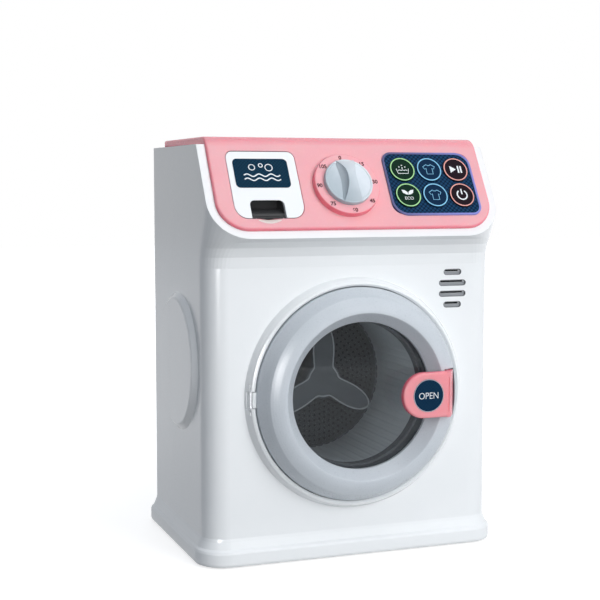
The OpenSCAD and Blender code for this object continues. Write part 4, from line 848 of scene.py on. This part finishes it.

# Grey ABS that hardly shines: the drum and agitator a dull mid grey. The agitator's bead is a light grey
# painted highlight. The lining is painted light and its end painted shade, a pale and a dark copy of one
# grey, and the holes in the end are nearly black discs of painted shade.
grey_tones_with_painted_light = {
    "moulded": ("#6C7074", "#666A6E", 0.35, 0.8 * mm, 0.6 * mm),
    "painted_highlight_bead": ("#B4B8BB", "#ACB0B4", 0.25, 0.8 * mm, 0.3 * mm),
    "lining": ("#DCE0E3", "#D4D8DB", 0.4, 0.8 * mm, 0.3 * mm),
    "lining_end": ("#505357", "#4B4E52", 0.4, 0.8 * mm, 0.3 * mm),
    "hole_shade": ("#2A2D30", "#26292C", 0.6, 0.5 * mm, 0.3 * mm),
}
grey_abs = {name: moulded(f"grey_abs_{name}", light, dark, roughness, grain, relief=0.001 * mm, edge=edge,
                          shine=0.08)
            for name, (light, dark, roughness, grain, edge) in grey_tones_with_painted_light.items()}
finish_nodes(grey_abs["moulded"], "drum")
finish_nodes(nylon, "drum_gear", "motor_pinion")
drum_low, drum_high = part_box("drum")
drum_end = Vector(((drum_low[0] + drum_high[0]) / 2, drum_high[1] - drum_end_t,
                   (drum_low[2] + drum_high[2]) / 2))
drum_place = facing((0, -1, 0), drum_end)


def agitator_reach(turn):
    """How far the three-armed outline goes out at a turn: long round-ended arms and round hollows."""
    lobe = (1 + math.cos(3 * (turn - math.pi / 2))) / 2
    return agitator_hub + (agitator_arm - agitator_hub) * lobe ** arm_slimness


def agitator(steps=180, edge_steps=4):
    """The agitator: a tall three-armed block with a rounded edge and a low hub."""
    shape = bmesh.new()
    turns = [(t, agitator_reach(t)) for t in (2 * math.pi * i / steps for i in range(steps))]
    rings = [[(share * (reach - agitator_edge),
               agitator_crown * max(0, 1 - share * reach / agitator_hub) ** 2, t) for t, reach in turns]
             for share in (0.02, 0.3, 0.6, 0.85)]
    for step in range(edge_steps + 1):
        lean = math.radians(90 * step / edge_steps)
        rings.append([(reach - agitator_edge + agitator_edge * math.sin(lean),
                       agitator_edge * (math.cos(lean) - 1), t) for t, reach in turns])
    rings.append([(reach, agitator_gap - agitator_rise, t) for t, reach in turns])
    rows = [[shape.verts.new((r * math.cos(t), r * math.sin(t), agitator_rise + h)) for r, h, t in ring]
            for ring in rings]
    skin(shape, rows)
    shape.faces.new(rows[0])
    shape.faces.new(rows[-1])
    return meshed(shape, "agitator", smooth_below=40)


def ribbed_wall(radius, near, far, thick, rib, ribs=60):
    """The drum's thin inner lining: a tube with fine ribs along it."""
    shape = bmesh.new()
    count = ribs * 4
    inner = [radius - (rib if i % 4 == 0 else 0) for i in range(count)]
    outer = [radius + thick] * count
    turns = [2 * math.pi * i / count for i in range(count)]
    loops = [[shape.verts.new((reach * math.cos(t), reach * math.sin(t), height))
              for reach, t in zip(wall, turns)]
             for wall, height in ((inner, near), (inner, far), (outer, far), (outer, near))]
    skin(shape, loops + loops[:1])
    return meshed(shape, "ribbed_wall")


agitator_piece = piece("agitator_smooth", agitator(), "drum_body", grey_abs["moulded"],
                       drum_place)
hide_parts("drum_agitator")
# The bead's light grey is a painted highlight along the agitator's edge.
bead = []
for i in range(180):
    turn = 2 * math.pi * i / 180
    reach = agitator_reach(turn) - bead_inset
    bead.append((reach * math.cos(turn), reach * math.sin(turn)))
piece("agitator_bead", ribbon([bead], bead_w, bead_half), "drum_body", grey_abs["painted_highlight_bead"],
      drum_place @ Matrix.Translation((0, 0, agitator_rise)))
# The lining is painted pale and its end dark: painted light on the wall and painted shade on the end.
lining = ribbed_wall(lining_r, lining_near, lining_far, lining_t, lining_rib)
piece("drum_lining", lining, "drum_body", grey_abs["lining"], drum_place)
lining_end = turned([(end_inner, end_near), (end_inner, end_far), (end_outer, end_far),
                     (end_outer, end_near), (end_inner, end_near)])
piece("drum_lining_end", lining_end, "drum_body", grey_abs["lining_end"], drum_place)
# The lining's end is pierced all over. The real holes are under a millimetre, too fine to show, so they are
# drawn a little coarser, as nearly black discs of painted shade.
holes = []
for ring in range(hole_rings):
    far = hole_first + hole_ring_step * ring
    count = int(2 * math.pi * far / hole_step)
    for i in range(count):
        turn = 2 * math.pi * (i + ring / 2) / count
        holes.append(arc(hole_r, 0, 315, 7, (far * math.cos(turn), far * math.sin(turn))))
piece("drum_lining_holes", plates(holes, hole_t), "drum_body", grey_abs["hole_shade"],
      drum_place @ Matrix.Translation((0, 0, hole_lift)))

# Turned brass: warm, with turning marks that draw out its gloss.
turned_brass = plated("brass_turned", "#D2A85A", 0.3)
finish_nodes(turned_brass, "drum_bush")

# ---- Speaker ----
# A small speaker with a pressed-paper cone in a black ABS frame. Posts behind the sound slots hold it
# against the front moulding.
# Black ABS as moulded: dull and even, so only the slots' edges show.
black_frame = moulded("black_abs_moulded", "#202123", "#1A1B1C", grain=0.4 * mm)
finish_nodes(black_frame, "speaker_frame", "speaker_cone")

# ---- Cells and their cover ----
# Three standard cells in printed jackets lie in the battery box. A white ABS cover in the back moulding
# swings down from them, and a captive screw holds it shut.
finish_nodes(white_abs, "battery_door")

# Printed jacket: a shrunk sleeve in one warm tone, glossy over the can.
cell_jacket = moulded("cell_jacket_printed", "#D98A2B", "#CF8025", roughness=0.3, grain=0.8 * mm,
                      relief=0.004 * mm)
finish_nodes(cell_jacket, "battery_1", "battery_2", "battery_3")

# ---- Floor ----
# A sweep of white paper, as under a product on a studio table. A grey card lies on it to the left, so the
# cabinet's side keeps its tone.
floor_half = 4
paper_near, paper_far = 0.12, 0.55
paper_near_glow = 0.74
card_edge = -0.25
white = linear("#FFFFFF")


def in_view(tree):
    """1 for rays that show the background itself, straight, in a gloss or through the window."""
    ray = add(tree, "LightPath", {})
    seen = add(tree, "Math", {"operation": "MAXIMUM", 0: ray.outputs["Is Camera Ray"],
                              1: ray.outputs["Is Glossy Ray"]})
    return add(tree, "Math", {"operation": "MAXIMUM", 0: seen.outputs[0],
                              1: ray.outputs["Is Transmission Ray"]}).outputs[0]


def sweep_paper():
    """White paper that glows a little less near the toy, so its shadow stays, and that throws back the
    card's grey on the left and a light grey on the right."""
    material, tree, place = new_material("white_sweep")
    away = add(tree, "VectorMath", {"operation": "LENGTH", 0: place})
    rise = add(tree, "MapRange", {"interpolation_type": "SMOOTHSTEP", "Value": away.outputs["Value"],
                                  "From Min": paper_near, "From Max": paper_far,
                                  "To Min": paper_near_glow, "To Max": 1.0})
    paper = add(tree, "BsdfDiffuse", {"Color": linear("#BCBCBC")})
    bright = add(tree, "Emission", {"Color": white, "Strength": rise.outputs["Result"]})
    lit = add(tree, "AddShader", {0: paper.outputs["BSDF"], 1: bright.outputs["Emission"]})
    apart = add(tree, "SeparateXYZ", {"Vector": place})
    card = add(tree, "MapRange", {"interpolation_type": "SMOOTHSTEP", "Value": apart.outputs["X"],
                                  "From Min": card_edge, "From Max": 0.0})
    tone = add(tree, "Mix", {"data_type": "RGBA", 0: card.outputs["Result"],
                             6: linear("#5C5C5C"), 7: linear("#BABABA")})
    bounce = add(tree, "BsdfDiffuse", {"Color": tone.outputs[2]})
    both = add(tree, "MixShader", {0: in_view(tree), 1: bounce.outputs["BSDF"], 2: lit.outputs["Shader"]})
    add(tree, "OutputMaterial", {"Surface": both.outputs["Shader"]})
    return material


floor_mesh = bpy.data.meshes.new("floor")
floor_mesh.from_pydata([(x * floor_half, y * floor_half, 0) for x, y in ((-1, -1), (1, -1), (1, 1), (-1, 1))],
                       [], [(0, 1, 2, 3)])
floor_mesh.materials.append(sweep_paper())
floor = bpy.data.objects.new("floor", floor_mesh)
bpy.context.scene.collection.objects.link(floor)

# ---- Lamps ----
# A dim cool room with soft square lamps: a key high on the right, a broad fill low in front, one behind and
# one above. The small one on the left only shows, as a gleam down the cabinet's near edge.
lamp_aim = Vector((0, 0, 0.14))
room_strength = 0.37

world = bpy.data.worlds.new("studio")
bpy.context.scene.world = world
world.use_nodes = True
world.node_tree.nodes.clear()
seen = in_view(world.node_tree)
strength = add(world.node_tree, "MapRange", {"Value": seen, "To Min": room_strength, "To Max": 1.0})
sky_tone = add(world.node_tree, "Mix", {"data_type": "RGBA", 0: seen, 6: linear("#E3EDFB"), 7: white})
sky = add(world.node_tree, "Background", {"Color": sky_tone.outputs[2],
                                          "Strength": strength.outputs["Result"]})
add(world.node_tree, "OutputWorld", {"Surface": sky.outputs["Background"]})


def lamp(name, at, size, power, in_gloss=False):
    """A soft square lamp aimed at the toy's middle. None shows through the window."""
    light = bpy.data.lights.new(name, "AREA")
    light.shape = "SQUARE"
    light.size = size
    light.energy = power
    made = bpy.data.objects.new(name, light)
    made.location = at
    made.rotation_euler = (lamp_aim - Vector(at)).to_track_quat("-Z", "Y").to_euler()
    made.visible_glossy = in_gloss
    made.visible_transmission = False
    bpy.context.scene.collection.objects.link(made)
    return made


lamp("key_right", (0.7, -1.5, 1.0), 0.9, 13.3)
lamp("fill_front", (0.05, -2.2, 0.12), 1.2, 22)
lamp("back_soft", (0.6, 2.0, 0.9), 1.0, 12)
glint = lamp("glint_left", (-0.9, -1.2, 0.35), 0.5, 14, in_gloss=True)
glint.visible_diffuse = False
lamp("top_soft", (0.1, -0.6, 1.7), 1.0, 5, in_gloss=True)

# ---- Camera ----
# A still camera with a short telephoto lens. It stands 20 degrees round to the left of the front, a little
# below the toy's top.
camera_data = bpy.data.cameras.new("camera")
camera_data.sensor_width = 36
camera_data.lens = 77.72
camera_data.clip_start = 0.01
camera = bpy.data.objects.new("camera", camera_data)
camera.location = Vector((-322.6, -824.4, 243.9)) * mm
camera_target = Vector((-38.0, -56.1, 169.2)) * mm
camera.rotation_euler = (camera_target - camera.location).to_track_quat("-Z", "Y").to_euler()
bpy.context.scene.collection.objects.link(camera)
bpy.context.scene.camera = camera
bpy.context.scene.view_settings.view_transform = "Standard"
